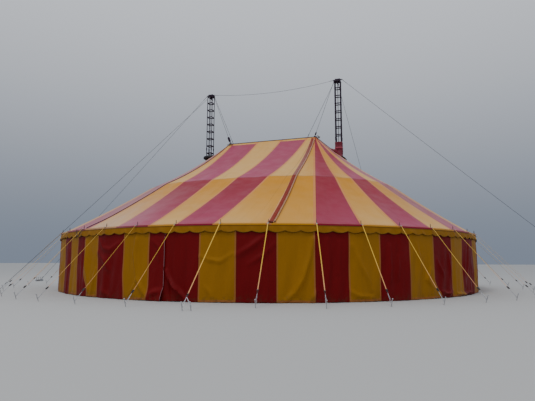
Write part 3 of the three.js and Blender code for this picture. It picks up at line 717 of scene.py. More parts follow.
def lacing_loops(bay, side):
    """Short loops of rope through eyelets, a line through the loops, and a knot at the foot."""
    name = "lacing_" + side
    (left, right), _ = lacing_lines(bay, [0.075, 0.125], np.linspace(0.012, 0.97, 92))
    (line,), _ = lacing_lines(bay, [0.15])
    line[:, 2] += 0.012
    loops = []
    for low, high in zip(left, right):
        middle = (low + high) / 2 + np.array([0, 0, 0.03])
        path = [low + [0, 0, 0.004], low * 0.7 + middle * 0.3 + [0, 0, 0.008], middle,
                high * 0.7 + middle * 0.3 + [0, 0, 0.008], high + [0, 0, 0.004]]
        loops.append(run_along("loop", path, 0.011, 6))
    finished(joined(name + "_loops", *loops), "lacing_cloth", pale_rope)
    cord = run_along(name + "_line", line, 0.012, 6)
    foot = Vector(line[0])
    knot = [ring(0.028 + 0.006 * k, 0.012, foot + Vector((dx, dy, 0.03)), (math.radians(60), 0.3 * k, 0.4 * k), 14)
            for k, (dx, dy) in enumerate(((0.0, 0.0), (-0.11, -0.02), (-0.2, 0.0)))]
    finished(joined(name + "_line", cord, *knot), "lacing_cloth", lacing_rope)


for make in (lacing_flap, lacing_loops):
    for bay, side in ((0.0, "near"), (float(HALF), "far")):
        make(bay, side)


# Valance: a hanging band with a wavy, piped hem
def hem_height(bay):
    """The hem's waves: three round lobes to a bay with a cusp between them, a little uneven."""
    lobe = np.abs(np.sin(np.pi * SCALLOPS * (bay + 0.02 * waves(bay, 12, [0.9, 1.7])))) ** 0.75
    return EAVE - VALANCE_DROP + 0.078 * (1 - lobe) + 0.012 * waves(bay, 11, [1.7, 2.9, 0.9])


def valance_ripple(bay, share):
    """How far the valance stands out: share is 0 at the eave and 1 at the hem."""
    slant = bay - 0.12 * share
    folds = 0.016 * waves(slant, 21, [0.61, 0.37, 1.3]) + 0.008 * waves(slant, 22, [0.19, 0.13])
    scallops = 0.012 * np.cos(2 * math.pi * SCALLOPS * bay)
    crease = 0.02 * hill((bay - 1.3) - 0.45 * (share - 0.5), 0, 0.09)
    return (folds + scallops + crease + 0.026) * ramp(share, 0.1, 1.0)


def valance(number, first):
    bays = np.linspace(first, first + SIXTH, SIXTH * VALANCE_STEPS + 1)
    bay, share = grid(bays, np.array([0.0, 0.1, 0.2, 0.3, 0.42, 0.55, 0.68, 0.8, 0.9, 0.965, 1.0])[::-1])
    hem = hem_height(bay)
    height = WALL_TOP * (1 - share) + hem * share
    points = raised(on_ring(bay, EDGE_RADIUS) + radial(bay) * valance_ripple(bay, share)[..., None], height)
    # The seam layer here draws a painted shadow line just under the roof's lip, not a seam
    band = cloth(f"valance_band_{number}", points, np.stack([bay * BAY_WIDTH, height], -1), [valance_yellow],
                 thickness=0.002, edge=height - hem, seam=np.maximum(np.abs(EAVE - 0.066 - height) - 0.008, 0))
    finished(band, "valance_cloth", None, f"valance_{number}")
    hem_line = points[:, 0] + np.array([0, 0, -0.003])
    piping = run_along(f"valance_piping_{number}", hem_line, 0.009, 6)
    finished(piping, "valance_cloth", shaded_piping_cloth)


SIXTHS = [(number + 1, number * SIXTH) for number in range(6)]
for number, first in SIXTHS:
    valance(number, first)

# Wall: red and yellow panels sewn side by side, the far half as the near one
EDGES = WALL_EDGES + list(np.linspace(WALL_EDGES[-1], WALL_EDGES[0] + HALF, EVEN_PANELS + 1)[1:-1])
EDGES = np.array([edge + turn for turn in (-HALF, 0, HALF, BAYS) for edge in EDGES])

# Creases where the wall is pulled: width and depth in metres, and the bays and heights that each passes through
CREASES = [
    (0.10, 0.050, [(-4.80, 2.50), (-4.74, 1.40), (-4.62, 0.30)]),
    (0.08, 0.045, [(-4.36, 1.20), (-4.50, 0.10)]),
    (0.09, 0.040, [(-4.20, 2.45), (-4.05, 2.12), (-3.82, 2.03), (-3.56, 2.30)]),
    (0.13, 0.050, [(-4.24, 1.90), (-4.00, 1.60), (-3.85, 1.20)]),
    (0.10, 0.035, [(-4.10, 0.35), (-3.84, 0.10)]),
    (0.08, 0.055, [(-2.99, 2.45), (-3.03, 1.90), (-2.97, 1.30), (-2.93, 0.80), (-2.80, 0.42), (-2.66, 0.08)]),
    (0.07, 0.040, [(-2.95, 0.80), (-3.14, 0.20)]),
    (0.09, 0.050, [(-2.60, 0.24), (-2.45, 0.34), (-2.30, 0.40)]),
    (0.06, 0.030, [(-2.55, 2.35), (-2.40, 2.15), (-2.38, 1.60)]),
    (0.07, 0.090, [(-2.20, 1.18), (-2.12, 0.87), (-2.01, 0.57), (-1.85, 0.30), (-1.73, 0.06)]),
    (0.07, -0.035, [(-2.17, 0.70), (-2.12, 0.15)]),
    (0.06, 0.030, [(-1.45, 1.75), (-1.20, 1.60), (-0.99, 1.54), (-0.75, 1.85)]),
    (0.07, 0.025, [(-1.31, 0.60), (-1.20, 0.30)]),
    (0.10, 0.045, [(-0.10, 2.50), (-0.38, 2.10), (-0.64, 1.80)]),
    (0.09, 0.030, [(0.10, 2.20), (-0.10, 1.80), (-0.40, 1.45)]),
    (0.09, 0.060, [(0.93, 2.50), (0.83, 1.65), (0.70, 0.90), (0.54, 0.38), (0.36, 0.08)]),
    (0.06, 0.040, [(0.97, 0.45), (0.88, 0.08)]),
    (0.08, 0.035, [(1.22, 2.40), (1.25, 1.20), (1.20, 0.20)]),
    (0.08, 0.030, [(1.50, 2.30), (1.46, 1.10)]),
    (0.09, 0.040, [(1.79, 2.20), (1.96, 1.40), (2.13, 0.85), (2.20, 0.45)]),
    (0.06, 0.030, [(1.72, 0.42), (1.90, 0.22), (2.25, 0.16)]),
    (0.08, 0.040, [(2.69, 2.20), (2.66, 0.80)]),
    (0.08, 0.035, [(2.92, 1.75), (2.88, 0.85)]),
    (0.08, 0.030, [(3.50, 2.30), (3.62, 1.20)]),
    (0.07, 0.040, [(3.92, 1.25), (3.80, 0.80), (3.98, 0.45)]),
    (0.08, 0.040, [(4.20, 1.60), (4.42, 0.90)]),
    (0.08, 0.035, [(4.70, 1.90), (4.74, 0.90)]),
    (0.06, 0.060, [(4.30, 0.26), (4.60, 0.16), (4.80, 0.24)]),
    (0.05, 0.070, [(5.00, 0.12), (5.50, 0.08), (6.10, 0.14)]),
]

# Where the foot of the cloth is dragged sideways: the bay, how far and how high the pull reaches, and the shift
PULLS = [(-4.93, 0.32, 1.3, 0.19), (4.06, 0.34, 0.85, 0.26), (-3.42, 0.3, 1.2, 0.05)]


def more_creases():
    """Three creases for each panel that doesn't show in the picture."""
    chance = np.random.RandomState(41)
    found = []
    for first, last in zip(EDGES, EDGES[1:]):
        if not WALL_EDGES[-2] <= first < BAYS - SEEN_END:
            continue
        for _ in range(3):
            a, b = chance.uniform(0.1, 0.9, 2)
            top, low = chance.uniform(1.6, 2.6), chance.uniform(0.05, 1.2)
            bend = chance.uniform(-0.1, 0.1)
            width, depth = chance.uniform(0.07, 0.13), chance.uniform(0.015, 0.045)
            found.append((width, depth, [(first + a * (last - first), top),
                                         (first + (a + b) / 2 * (last - first) + bend, (top + low) / 2),
                                         (first + b * (last - first), low)]))
    return found


ALL_CREASES = CREASES + more_creases()


def away_from(line, bay, height):
    """The distance in metres from a line through bays and heights, and how far along it, from 0 to 1."""
    nearest, along = np.full(bay.shape, 99.0), np.zeros(bay.shape)
    for i, ((bay0, z0), (bay1, z1)) in enumerate(zip(line, line[1:])):
        x, run = (bay - bay0) * BAY_WIDTH, (bay1 - bay0) * BAY_WIDTH
        share = np.clip((x * run + (height - z0) * (z1 - z0)) / (run ** 2 + (z1 - z0) ** 2), 0, 1)
        gap = np.hypot(x - share * run, height - z0 - share * (z1 - z0))
        along = np.where(gap < nearest, (i + share) / (len(line) - 1), along)
        nearest = np.minimum(gap, nearest)
    return nearest, along


def wall_ripple(bay, height):
    """How far the wall stands out from the line of the poles."""
    broad = 0.045 * waves(bay + 0.06 * height, 31, [1.07, 0.63, 1.9])
    fine = 0.024 * waves(bay - 0.1 * height, 32, [0.41, 0.29])
    out = ramp(2.62 - height, 0.0, 1.6) * (broad + fine - 0.012)
    for width, depth, line in ALL_CREASES:
        turned = turned_near(bay) if max(at for at, _ in line) < SEEN_END else bay
        near = np.abs(turned - sum(at for at, _ in line) / len(line)) < 1.2
        if near.any():
            gap, along = away_from(line, turned, height)
            swell = 0.35 + 0.65 * np.sin(np.pi * np.clip(along, 0.08, 0.92))
            out = out + np.where(near, 1.9 * depth * hill(gap, 0, width) * swell, 0)
    # The wall hangs straighter at both ends of the tent
    out = out * (1 - 0.75 * hill(np.abs(turned_near(bay)), 7.6, 1.3, 4)) * ramp(2.85 - height, 0.0, 0.5)
    at_pole = hill(bay, np.round(bay), 0.06, 4)
    return out * (1 - at_pole) + np.maximum(out, 0.0) * at_pole


def wall_columns(first, last):
    """Bay numbers of a sheet's columns: one on each sewn join between panels and on each hem's edge, and even steps
    between them.
    """
    columns, hem = [first], WALL_HEM / BAY_WIDTH
    for a, b in zip(EDGES, EDGES[1:]):
        low, high = max(a, first), min(b, last)
        if high - low <= 1e-6:
            continue
        marks = {low, high} | ({a + hem} if low == a else set()) | ({b - hem} if high == b else set())
        marks = sorted(marks)
        for u, v in zip(marks, marks[1:]):
            columns += list(np.linspace(u, v, max(1, round((v - u) * BAY_WIDTH / WALL_STEP)) + 1)[1:])
    return np.array(columns)


def wall_sheet(name, first, last, node_name, left=None, right=None, step=0.0):
    """left and right give, for heights, how many bays that edge of the sheet moves, and step how far it stands out."""
    bays = wall_columns(first, last)
    bay, height = grid(bays, [0.0, 0.03, 0.07, *np.linspace(0.12, 2.6, 38), 2.75, 2.9, WALL_TOP])
    across = bay + sum(shift * hill(turned_near(bay), at, reach) * ramp(up - height, 0.0, up)
                       for at, reach, up, shift in PULLS)
    gather = np.zeros_like(bay)
    for edge, shift in ((first, left), (last, right)):
        if shift:
            amount, outwards = shift(height)
            reach = np.clip(1 - np.abs(bay - edge) / 0.9, 0, 1)
            across = across + amount * reach ** 1.5
            gather = gather + outwards * reach ** 2
    foot = 0.006 + 0.012 * (1 + waves(bay, 51, [0.9, 0.47, 2.2]))
    lifted = foot + height * (WALL_TOP - foot) / WALL_TOP
    gather = (gather + step * ramp(bay, last - 0.5, last - 0.3)) * ramp(2.62 - height, 0.0, 0.25)
    out = wall_ripple(across, height) + gather
    points = raised(on_ring(across, WALL_RADIUS) + radial(across) * out[..., None], lifted)
    nearest = np.min(np.abs(bay[..., None] - EDGES), axis=-1) * BAY_WIDTH
    if left or right:
        nearest = np.minimum(nearest, np.minimum(bay - first, last - bay) * BAY_WIDTH)
    # Panels are red and yellow by turns
    panels = (np.searchsorted(EDGES, (bays[1:] + bays[:-1]) / 2, side="right") - 1) % 2
    sheet = cloth(name, points, np.stack([bay * BAY_WIDTH, height], -1), WALL_FINISHES, panels,
                  edge=np.minimum(nearest, height * 0.75), seam=NO_EDGE)
    finished(sheet, "wall_cloth", None, node_name)
    return points


def left_leaf_foot(height):
    """The left leaf's corner turns up and back at the foot."""
    curl = ramp(0.62 - height, 0.0, 0.62)
    return -0.05 * curl, 0.11 * curl + 0.02


def right_leaf_foot(height):
    """The right leaf's edge draws back a little at the foot, behind its long fold."""
    return 0.02 * ramp(0.6 - height, 0.0, 0.6), -0.01


WALL_FINISHES = [wall_red, wall_yellow]
for number, first in SIXTHS[:5]:
    wall_sheet(f"wall_sheet_{number}", float(first), float(first) + SIXTH, f"wall_panel_{number}")
leaf_points = wall_sheet("entrance_left_cloth", float(BAYS - SIXTH), LEAF_OVERLAP[1], "entrance_leaf_left",
                         right=left_leaf_foot, step=0.02)
wall_sheet("entrance_right_cloth", LEAF_OVERLAP[0], float(BAYS), "entrance_leaf_right", left=right_leaf_foot)
edge_cord = run_along("entrance_edge_cord", leaf_points[-1][-3::-1] + np.array([0.004, -0.006, 0.0]),
                      0.009)
finished(edge_cord, "wall_cloth", entrance_rope)


# King poles: four chords and square frames of rungs, with two falls of rope down the middle
def mast(side):
    x, half = SIGN[side] * KING_X, MAST_HALF
    corners = [(-half, -half), (half, -half), (half, half), (-half, half)]

    def at_corners(piece):
        return [piece] + [copy_of(piece, shift=(a + half, b + half, 0)) for a, b in corners[1:]]

    def frame_at(level):
        rungs = [bar_between((*corners[k - 1], level), (*corners[k], level), RUNG) for k in (1, 2, 3, 0)]
        collar = tube(CHORD + 0.008, level - 0.03, level + 0.024, corners[0], sides=14)
        return joined("rungs", *rungs, *at_corners(collar))

    parts = at_corners(tube(CHORD, 0.024, MAST_TOP, corners[0], sides=14))
    parts += [frame_at(MAST_TOP - 0.025), frame_at(TOP_RUNG)]
    apply_modifier(parts[-1], "ARRAY", count=int(TOP_RUNG / RUNG_STEP), use_relative_offset=False,
                   use_constant_offset=True, constant_offset_displace=(0, 0, -RUNG_STEP))
    parts.append(plate((0.76, 0.76, 0.025), (0, 0, 0.0125), 0.004))
    parts += [plate((0.16, 0.012, 0.16), (a * 1.45, b, 0.1), 0.002) for a, b in corners]
    for level in JOINT_LEVELS:
        joint = tube(CHORD + 0.011, level - 0.09, level + 0.09, corners[0], sides=14)
        bolt = bar_between((-half - 0.05, -half, level + 0.05), (-half + 0.05, -half, level + 0.05), 0.008, 6)
        parts += at_corners(joined("joint", joint, bolt))
    parts += [plate((0.02, 0.30, 0.03), (-half - 0.02, 0, CLEAT_LEVEL), 0.006),
              plate((0.03, 0.06, 0.12), (-half, 0, CLEAT_LEVEL), 0.004),
              plate((0.03, 2 * half, 0.04), (-half, 0, CLEAT_LEVEL), 0.004)]
    whole = shifted(joined(f"king_pole_lattice_{side}", *parts), (x, 0, 0))
    finished(whole, "king_pole_paint", mast_paint, f"king_pole_{side}")
    falls = [run_along("fall", [(x + dx, dy, MAST_TOP - 0.02), (x - 0.04, dy, 3.0), (x - half + 0.03, dy, 1.56)],
                       0.013) for dx, dy in ((0.012, -0.016), (-0.012, 0.014))]
    finished(joined(f"king_pole_falls_{side}", *falls), "wire", dark_rope)


def gusset_plate():
    """A pointed plate under the cap: its lower edge is narrowed."""
    gusset = plate((0.30, 0.04, 0.19), (0, 0, MAST_TOP - 0.095), 0)
    for element in (*gusset.data.vertices, *gusset.data.edges):
        element.select = False
    for face in gusset.data.polygons:
        face.select = face.normal.z < -0.9
    pick(gusset)
    bpy.ops.object.mode_set(mode="EDIT")
    bpy.ops.transform.resize(value=(0.2, 1, 1), center_override=(0, 0, MAST_TOP - 0.19))
    bpy.ops.mesh.select_all(action="SELECT")
    bpy.ops.mesh.bevel(offset=0.003, segments=2)
    bpy.ops.object.mode_set(mode="OBJECT")
    return gusset


def mast_head(side):
    top, low = POLE_TOP - 0.001, MAST_TOP + 0.022
    parts = [plate((0.40, 0.40, 0.022), (0, 0, MAST_TOP + 0.0113), 0.004)]
    parts += [plate((0.34, 0.014, top - low), (0, y, (top + low) / 2), 0.005) for y in (-0.1, 0, 0.1)]
    for x in (-0.085, 0.085):
        parts += [wheel(0.055, 0.022, (x, y, WHEEL_LEVEL), 24) for y in (-0.05, 0.05)]
        parts.append(axle((x, 0, WHEEL_LEVEL), 0.125, 0.012))
    parts.append(plate((0.36, 0.22, 0.012), (0, 0, top - 0.006)))
    parts += [tube(0.011, low, low + 0.014, (x, y), 6, 0) for x in (-0.17, 0.17) for y in (-0.17, 0.17)]
    parts.append(gusset_plate())
    parts.append(copy_of(parts[-1], QUARTER_TURN))
    for k in range(4):
        level, depth = (SIDE_ARM_Z, 0.06) if k % 2 else (ARM_Z, 0.07)
        arm = joined("arm", plate((ARM_REACH - 0.08, 0.07, depth), ((ARM_REACH + 0.08) / 2, 0, level), 0.008),
                     ring(0.030, 0.011, (ARM_REACH + 0.024, 0, level), sides=20),
                     plate((0.05, 0.018, depth), (ARM_REACH - 0.012, 0, level), 0.004))
        parts.append(shifted(arm, (0, 0, 0), turn_by(k * QUARTER_TURN)))
    whole = shifted(joined(f"king_pole_top_{side}", *parts), (SIGN[side] * KING_X, 0, 0))
    finished(whole, "king_pole_paint", mast_paint, f"king_pole_head_{side}")


for side in SIGN:
    mast(side)
    mast_head(side)


# Wires, end to end, with a shackle and clamps at each end
def wire_run(name, start, end, sag, steps=24):
    shares = [i / steps for i in range(steps + 1)]
    points = [start.lerp(end, share) - Vector((0, 0, 4 * sag * share * (1 - share))) for share in shares]
    return run_along(name, points, WIRE)


def shackle(at, direction):
    """A bow shackle: a bent bar and its pin."""
    bow = ring(0.033, 0.0096, (0, 0, 0))
    pin = bar_between((-0.048, 0, -0.027), (0.048, 0, -0.027), 0.0102)
    return shifted(joined("shackle", bow, pin), at, turn_up_to(direction))


def clamps(start, direction, count=3, first=0.16):
    """Wire clamps: a saddle and a bent bolt on the wire's doubled end."""
    turn, made = turn_up_to(direction), []
    for i in range(count):
        bolts = [bar_between((x, -0.026, 0), (x, 0.022, 0), 0.004, 6) for x in (-0.012, 0.012)]
        clamp = joined("clamp", plate((0.034, 0.026, 0.022), (0, 0, 0)), *bolts)
        made.append(shifted(clamp, start + direction * (first + i * CLAMP_STEP), turn))
    tail = bar_between((0.016, 0, 0.03), (0.016, 0, first + count * CLAMP_STEP), WIRE, 8)
    return made + [shifted(tail, start, turn)]


def head_eye(side, facing):
    level = ARM_Z if facing[0] else SIDE_ARM_Z
    return Vector((SIGN[side] * KING_X, 0, level)) + Vector(facing) * (ARM_REACH + 0.051)


def anchor_fittings(anchor, out):
    """The ground beam with its stakes, and the eye that the tensioner hooks on to."""
    parts = [plate((0.09, 0.70, 0.11), (0, 0, 0.055), 0.006), plate((0.05, 0.62, 0.012), (0, 0, 0.116))]
    for y in (-0.28, -0.09, 0.09, 0.28):
        parts += [tube(0.018, 0.0, 0.31, (0, y), 12, 0.003), tube(0.03, 0.305, 0.33, (0, y), 12, 0.008)]
    parts.append(ring(0.04, 0.012, (-0.05, 0, 0.06), sides=20))
    return shifted(joined("anchor", *parts), anchor, turn_by(math.atan2(out.y, out.x)))


def tensioner(at, direction):
    """A bottle screw: an open frame, two threaded ends and two eyes."""
    parts = [bar_between((x, 0, 0.1), (x, 0, 0.42), 0.009, 8) for x in (-0.022, 0.022)]
    parts += [plate((0.06, 0.028, 0.035), (0, 0, z), 0.004) for z in (0.1, 0.42)]
    parts += [bar_between((0, 0, low), (0, 0, high), 0.009) for low, high in ((0.0, 0.2), (0.32, 0.52))]
    parts += [ring(0.026, 0.008, (0, 0, z), sides=14, wire_sides=6) for z in (-0.02, 0.54)]
    return shifted(joined("tensioner", *parts), at, turn_up_to(direction))


def stay(kind, side, facing, anchor):
    anchor, top = Vector((*anchor, 0.0)), head_eye(side, facing)
    out = (anchor - Vector((top.x, top.y, 0))).normalized()
    low = anchor + Vector((0, 0, 0.06)) - out * 0.08
    up = (top - low).normalized()
    wire = wire_run(f"{kind}_wire_{side}", low + up * TENSIONER, top, 0.05)
    fittings = [shackle(top, -up), tensioner(low, up), anchor_fittings(anchor, out), *clamps(top, -up),
                *clamps(low + up * TENSIONER, up)]
    fittings = joined(f"{kind}_wire_{side}_fittings", *fittings)
    finished(wire, "wire", wire_rope, f"{kind}_{side}")
    finished(fittings, "wire", galvanised)


for side, sign in SIGN.items():
    stay("main_stay", side, (sign, 0, 0), (sign * MAIN_ANCHOR, 0))
for side, sign in SIGN.items():
    stay("side_stay", side, (0, sign, 0), (sign * SIDE_ANCHOR[0], sign * SIDE_ANCHOR[1]))

cross_start, cross_end = head_eye("left", (1, 0, 0)), head_eye("right", (-1, 0, 0))
cross = wire_run("head_wire", cross_start, cross_end, 0.32, 40)
cross_ends = [shackle(cross_start, (1, 0, -0.1)), shackle(cross_end, (-1, 0, -0.1))]
for at, sign in ((cross_start, 1), (cross_end, -1)):
    cross_ends += clamps(at, Vector((sign, 0, -0.135)).normalized(), 2, 0.12)
finished(cross, "wire", wire_rope, "cross_wire")
finished(joined("head_wire_fittings", *cross_ends), "wire", galvanised)


# Hoists: from each king pole's head a wire with a hook to the ridge's end, and another to an eye further in
def hoist(side):
    sign, size = SIGN[side], 1.4 if side == "left" else 0.8
    top = Vector((sign * (KING_X - HOIST_REACH), 0, ARM_Z - 0.088))
    lug = Vector((sign * RIDGE_END, 0, RIDGE + 0.1))
    eye = Vector((sign * (RIDGE_END - EYE_INSET[side]), 0, RIDGE + BEAM_PROUD + 0.07))
    hook_top, eye_top = top + Vector((0, -0.06, 0)), top + Vector((0, 0.06, 0))
    up, inner_up = (hook_top - lug).normalized(), (top - eye).normalized()
    wires = [run_along("fall", ends, 0.011)
             for ends in ((lug + up * 0.36 * size, hook_top), (eye + inner_up * 0.05, eye_top))]
    finished(joined(f"ridge_hoist_wires_{side}", *wires), "wire", wire_rope, f"ridge_hoist_{side}")
    low_block = [ring(0.042, 0.016, (0, 0, 0.02)), tube(0.018, 0.05, 0.12, sides=12, bevel=0.003)]
    low_block += [plate((0.10, 0.01, 0.24), (0, y, 0.24), 0.012) for y in (-0.03, 0.03)]
    low_block += [plate((0.06, 0.06, 0.03), (0, 0, z), 0.004) for z in (0.135, 0.345)]
    low_block.append(wheel(0.044, 0.022, (0, 0, 0.26), bevel=0.005))
    parts = [shifted(joined("low block", *low_block), lug, turn_up_to(up) @ Matrix.Scale(size, 4)),
             bar_between(eye + inner_up * 0.05, eye + inner_up * 0.19, 0.019)]
    parts += [plate((0.06, 0.012, 0.10), (top.x, y, top.z), 0.01) for y in (-0.079, 0.079, 0.0)]
    parts += [wheel(0.028, 0.026, (top.x, y, top.z)) for y in (-0.04, 0.04)]
    parts += [axle(top, 0.085, 0.011), plate((0.055, 0.17, 0.02), (top.x, 0, top.z + 0.046), 0.005)]
    finished(joined(f"ridge_hoist_blocks_{side}", *parts), "king_pole_paint", mast_paint)


for side in SIGN:
    hoist(side)


# Ridge beam: a bar with round ends inside the top edge of the cloth, with a lug at each end and two eyes
def ridge_beam():
    bpy.ops.mesh.primitive_cylinder_add(vertices=32, radius=0.1192, depth=0.13, location=(0, 0, RIDGE - 0.005))
    beam = bpy.context.object
    for vertex in beam.data.vertices:
        vertex.co.x += math.copysign(RIDGE_END, vertex.co.x + 1e-4)
    settle(beam)
    apply_modifier(beam, "BEVEL", width=0.012, segments=3, limit_method="ANGLE", angle_limit=math.radians(60))
    lugs = []
    for side, sign in SIGN.items():
        x, inner = sign * RIDGE_END, sign * (RIDGE_END - EYE_INSET[side])
        lugs += [plate((0.12, 0.024, 0.13), (x, 0, RIDGE + 0.065), 0.01), ring(0.02, 0.007, (x, 0, RIDGE + 0.1)),
                 plate((0.09, 0.07, 0.012), (inner, 0, RIDGE + BEAM_PROUD + 0.004)),
                 ring(0.034, 0.011, (inner, 0, RIDGE + BEAM_PROUD + 0.04))]
    finished(joined("ridge_bar", beam, *lugs), "king_pole_paint", mast_paint, "ridge_beam")


ridge_beam()


# Collars: a black roll at the left king pole, and a red sleeve with a flared foot at the right one
def square_loop(reach, corner, steps):
    """Points round a square with rounded corners, at even steps."""
    points = []
    for k in range(steps):
        c, s = math.cos(2 * math.pi * k / steps), math.sin(2 * math.pi * k / steps)
        stretch = (abs(c) ** corner + abs(s) ** corner) ** (-1 / corner)
        points.append((reach * stretch * c, reach * stretch * s))
    return points


def roof_under(x, y):
    """The height of the roof's upper face at a point near an end of the ridge."""
    peak_x = math.copysign(RIDGE_END, x)
    away = math.hypot(x - peak_x, y)
    # The eave lies where the line from the peak meets the tent's outline
    along = (peak_x - CIRCLE_X) * (x - peak_x) / max(away, 1e-6)
    reach = -along + math.sqrt(along ** 2 - (peak_x - CIRCLE_X) ** 2 + MARGIN_RADIUS ** 2)
    return float(roof_height((reach - away) / (reach - RIDGE_RADIUS))) + ROOF_TOP


# The foot of a sleeve: how much of its spread, and how high above the roof
SPREAD = [(0.0, 0.20), (0.14, 0.13), (0.40, 0.075), (0.76, 0.032), (1.0, 0.014)]
SLEEVE_REACH = 0.222
SLEEVE_STEPS = 72


def sleeve(side, name, top, hoops, down, up, finishes):
    """A loose square tube of cloth round a king pole. hoops are distances below its top with the bulge of the cloth
    there, and down and up are how far the foot lies out on the roof on the downhill and on the uphill side."""
    rows = []
    levels = [(top - drop, bulge, 0) for drop, bulge in hoops] + [(0, *foot) for foot in SPREAD]
    for height, out_by, above in levels:
        row = []
        for k, (dx, dy) in enumerate(square_loop(SLEEVE_REACH, 7, SLEEVE_STEPS)):
            out = Vector((dx, dy, 0)).normalized()
            uphill = 0.5 - 0.5 * SIGN[side] * out.x
            lean = out_by if height else 0.006 + out_by * (down + (up - down) * uphill)
            lean += 0.007 * math.sin(1.9 * k) + 0.006 * math.sin(0.7 * k + 9 * height)
            x, y = SIGN[side] * KING_X + dx + out.x * lean, dy + out.y * lean
            ground = roof_under(x, y)
            wave = 0.014 * (1 + math.sin(6 * math.atan2(dy, dx))) if out_by > 0.3 else 0.0
            row.append((x, y, max(height, ground + 0.24) if height else ground + above * (1 + 0.35 * uphill) + wave))
        rows.append(row + row[:1])
    points = np.array(rows[::-1]).transpose(1, 0, 2)
    uv = np.stack(grid(np.linspace(0, 1.9, points.shape[0]), np.linspace(0, 1.2, points.shape[1])), -1)
    return cloth(name, points, uv, finishes, edge=0.5, seam=0.5), rows[-1]


CUFF_TOP = 8.97
CUFF_HOOPS = [(0.0, 0.0), (0.06, 0.004), (0.16, 0.004), (0.26, 0.012)]
ROLL_SECTION = [(0.0, 0.03), (0.05, 0.0), (0.115, -0.004), (0.165, 0.04), (0.185, 0.11), (0.16, 0.18),
                (0.10, 0.235), (0.04, 0.245), (0.006, 0.2), (0.0, 0.11)]
ROLL_STEPS = 56
ROLL_FOOT = 8.77
ROLL_SLOPE = 0.075


def black_cuff():
    """The left pole's black sleeve, rolled down: a thick creased roll, a little lower on its left side."""
    tube_cloth, _ = sleeve("left", "pole_sleeve_black", CUFF_TOP, CUFF_HOOPS, 0.09, 0.12, [black_cloth])
    finished(tube_cloth, "black_cloth", None, "pole_collar_left")
    loops = []
    for k, (x, y) in enumerate(square_loop(0.243, 5, ROLL_STEPS)):
        out, turn = Vector((x, y, 0)).normalized(), 2 * math.pi * k / ROLL_STEPS
        swell = 1.0 + 0.06 * math.sin(3 * turn + 0.7) + 0.05 * math.sin(7 * turn)
        loop = []
        for n, (lean, lift) in enumerate(ROLL_SECTION):
            lean = lean * swell + 0.009 * math.sin(2.6 * k + 0.8 * n) * (lean > 0.02)
            px, py = x + out.x * lean, y + out.y * lean
            loop.append((px - KING_X, py, ROLL_FOOT + lift * (0.85 + 0.15 * swell) + ROLL_SLOPE * px))
        loops.append(loop + loop[:1])
    points = np.array(loops + loops[:1])
    uv = np.stack(grid(np.linspace(0, 2.4, points.shape[0]), np.linspace(0, 0.6, points.shape[1])), -1)
    roll = cloth("pole_roll_left", points, uv, [black_cloth], thickness=0, edge=0.5, seam=NO_EDGE)
    # The grid's first and last lines are welded, which closes the roll
    bpy.ops.object.mode_set(mode="EDIT")
    bpy.ops.mesh.select_all(action="SELECT")
    bpy.ops.mesh.remove_doubles(threshold=0.0005)
    bpy.ops.mesh.normals_make_consistent(inside=False)
    bpy.ops.object.mode_set(mode="OBJECT")
    apply_modifier(roll, "SUBSURF", levels=1, render_levels=1)
    finished(roll, "black_cloth", None, "pole_collar_left")
    tie = [(x - KING_X, y, ROLL_FOOT - 0.03 + ROLL_SLOPE * x) for x, y in square_loop(0.252, 6, 40)]
    cord = run_along("pole_roll_tie", tie + tie[:1], 0.012, ends=False)
    finished(cord, "black_cloth", dark_rope)


SLEEVE_TOP = 9.25
SLEEVE_HOOPS = [(0.0, 0.008), (0.03, 0.02), (0.06, 0.008), (0.20, 0.012), (0.30, 0.004), (0.35, 0.02), (0.43, 0.02),
                (0.445, 0.006), (0.56, 0.016)]
BAND = (0.35, 0.43)


def red_sleeve():
    """The right pole's red sleeve with a paler band. Its foot is red uphill and has a thick black rim downhill."""
    piece, foot_line = sleeve("right", "pole_sleeve_cloth", SLEEVE_TOP, SLEEVE_HOOPS, 0.20, 0.34,
                              [sleeve_red, sleeve_band, black_cloth])
    for face in piece.data.polygons:
        x, _, z = face.center
        in_band = BAND[0] < SLEEVE_TOP - z < BAND[1]
        face.material_index = 1 if in_band else 2 if x - KING_X > 0.28 else 0
    finished(piece, "red_sleeve", None, "pole_sleeve_right")
    half = SLEEVE_STEPS // 2
    downhill = [(x, y, z + 0.02) for x, y, z in foot_line[half:-1] + foot_line[:half] if x > KING_X + 0.2]
    finished(run_along("pole_sleeve_rim", downhill, 0.045), "black_cloth", dark_rope)


black_cuff()
red_sleeve()


# Ropes on the roof
def seam_rope():
    """A rope tied along a sewn join between gores from the left end of the ridge, with its end looped round the pin of
    a side pole.
    """
    places = np.concatenate([np.linspace(0.985, 0.12, 50)[:-1], np.linspace(0.12, 0.006, 16)])
    pole = HALF + math.floor(ROPE_SEAM)
    line = roof_point(pole + (ROPE_SEAM % 1) * ramp(places, 0.0, 0.12), places, ROOF_TOP + 0.018)
    rope = run_along("roof_seam_rope", line, ROPE_RADIUS, 7)
    knots = [ring(size, 0.02, Vector(line[0]) + Vector(shift), (1.1 + turn, turn, 0.5 * turn))
             for size, shift, turn in ((0.06, (0.02, -0.02, 0.04), 0.0), (0.05, (0.14, -0.03, 0.05), 0.5),
                                       (0.045, (0.3, -0.04, 0.03), -0.4))]
    finished(joined("roof_seam_rope", rope, *knots), "lacing_cloth", dark_rope)
    shares = np.linspace(0, 1, 30)
    bays, swing = pole - 0.02 - 0.3 * shares, np.sin(math.pi * shares)
    path = raised(on_ring(bays, EDGE_RADIUS) + radial(bays) * (0.06 + 0.05 * swing)[:, None],
                  EAVE + 0.02 - 0.34 * np.abs(swing) ** 0.8)
    spare = run_along("eave_rope_loop", path, ROPE_RADIUS * 0.8, 7)
    finished(spare, "lacing_cloth", dark_rope)
    round(float(run_of(path)[-1]), 3)


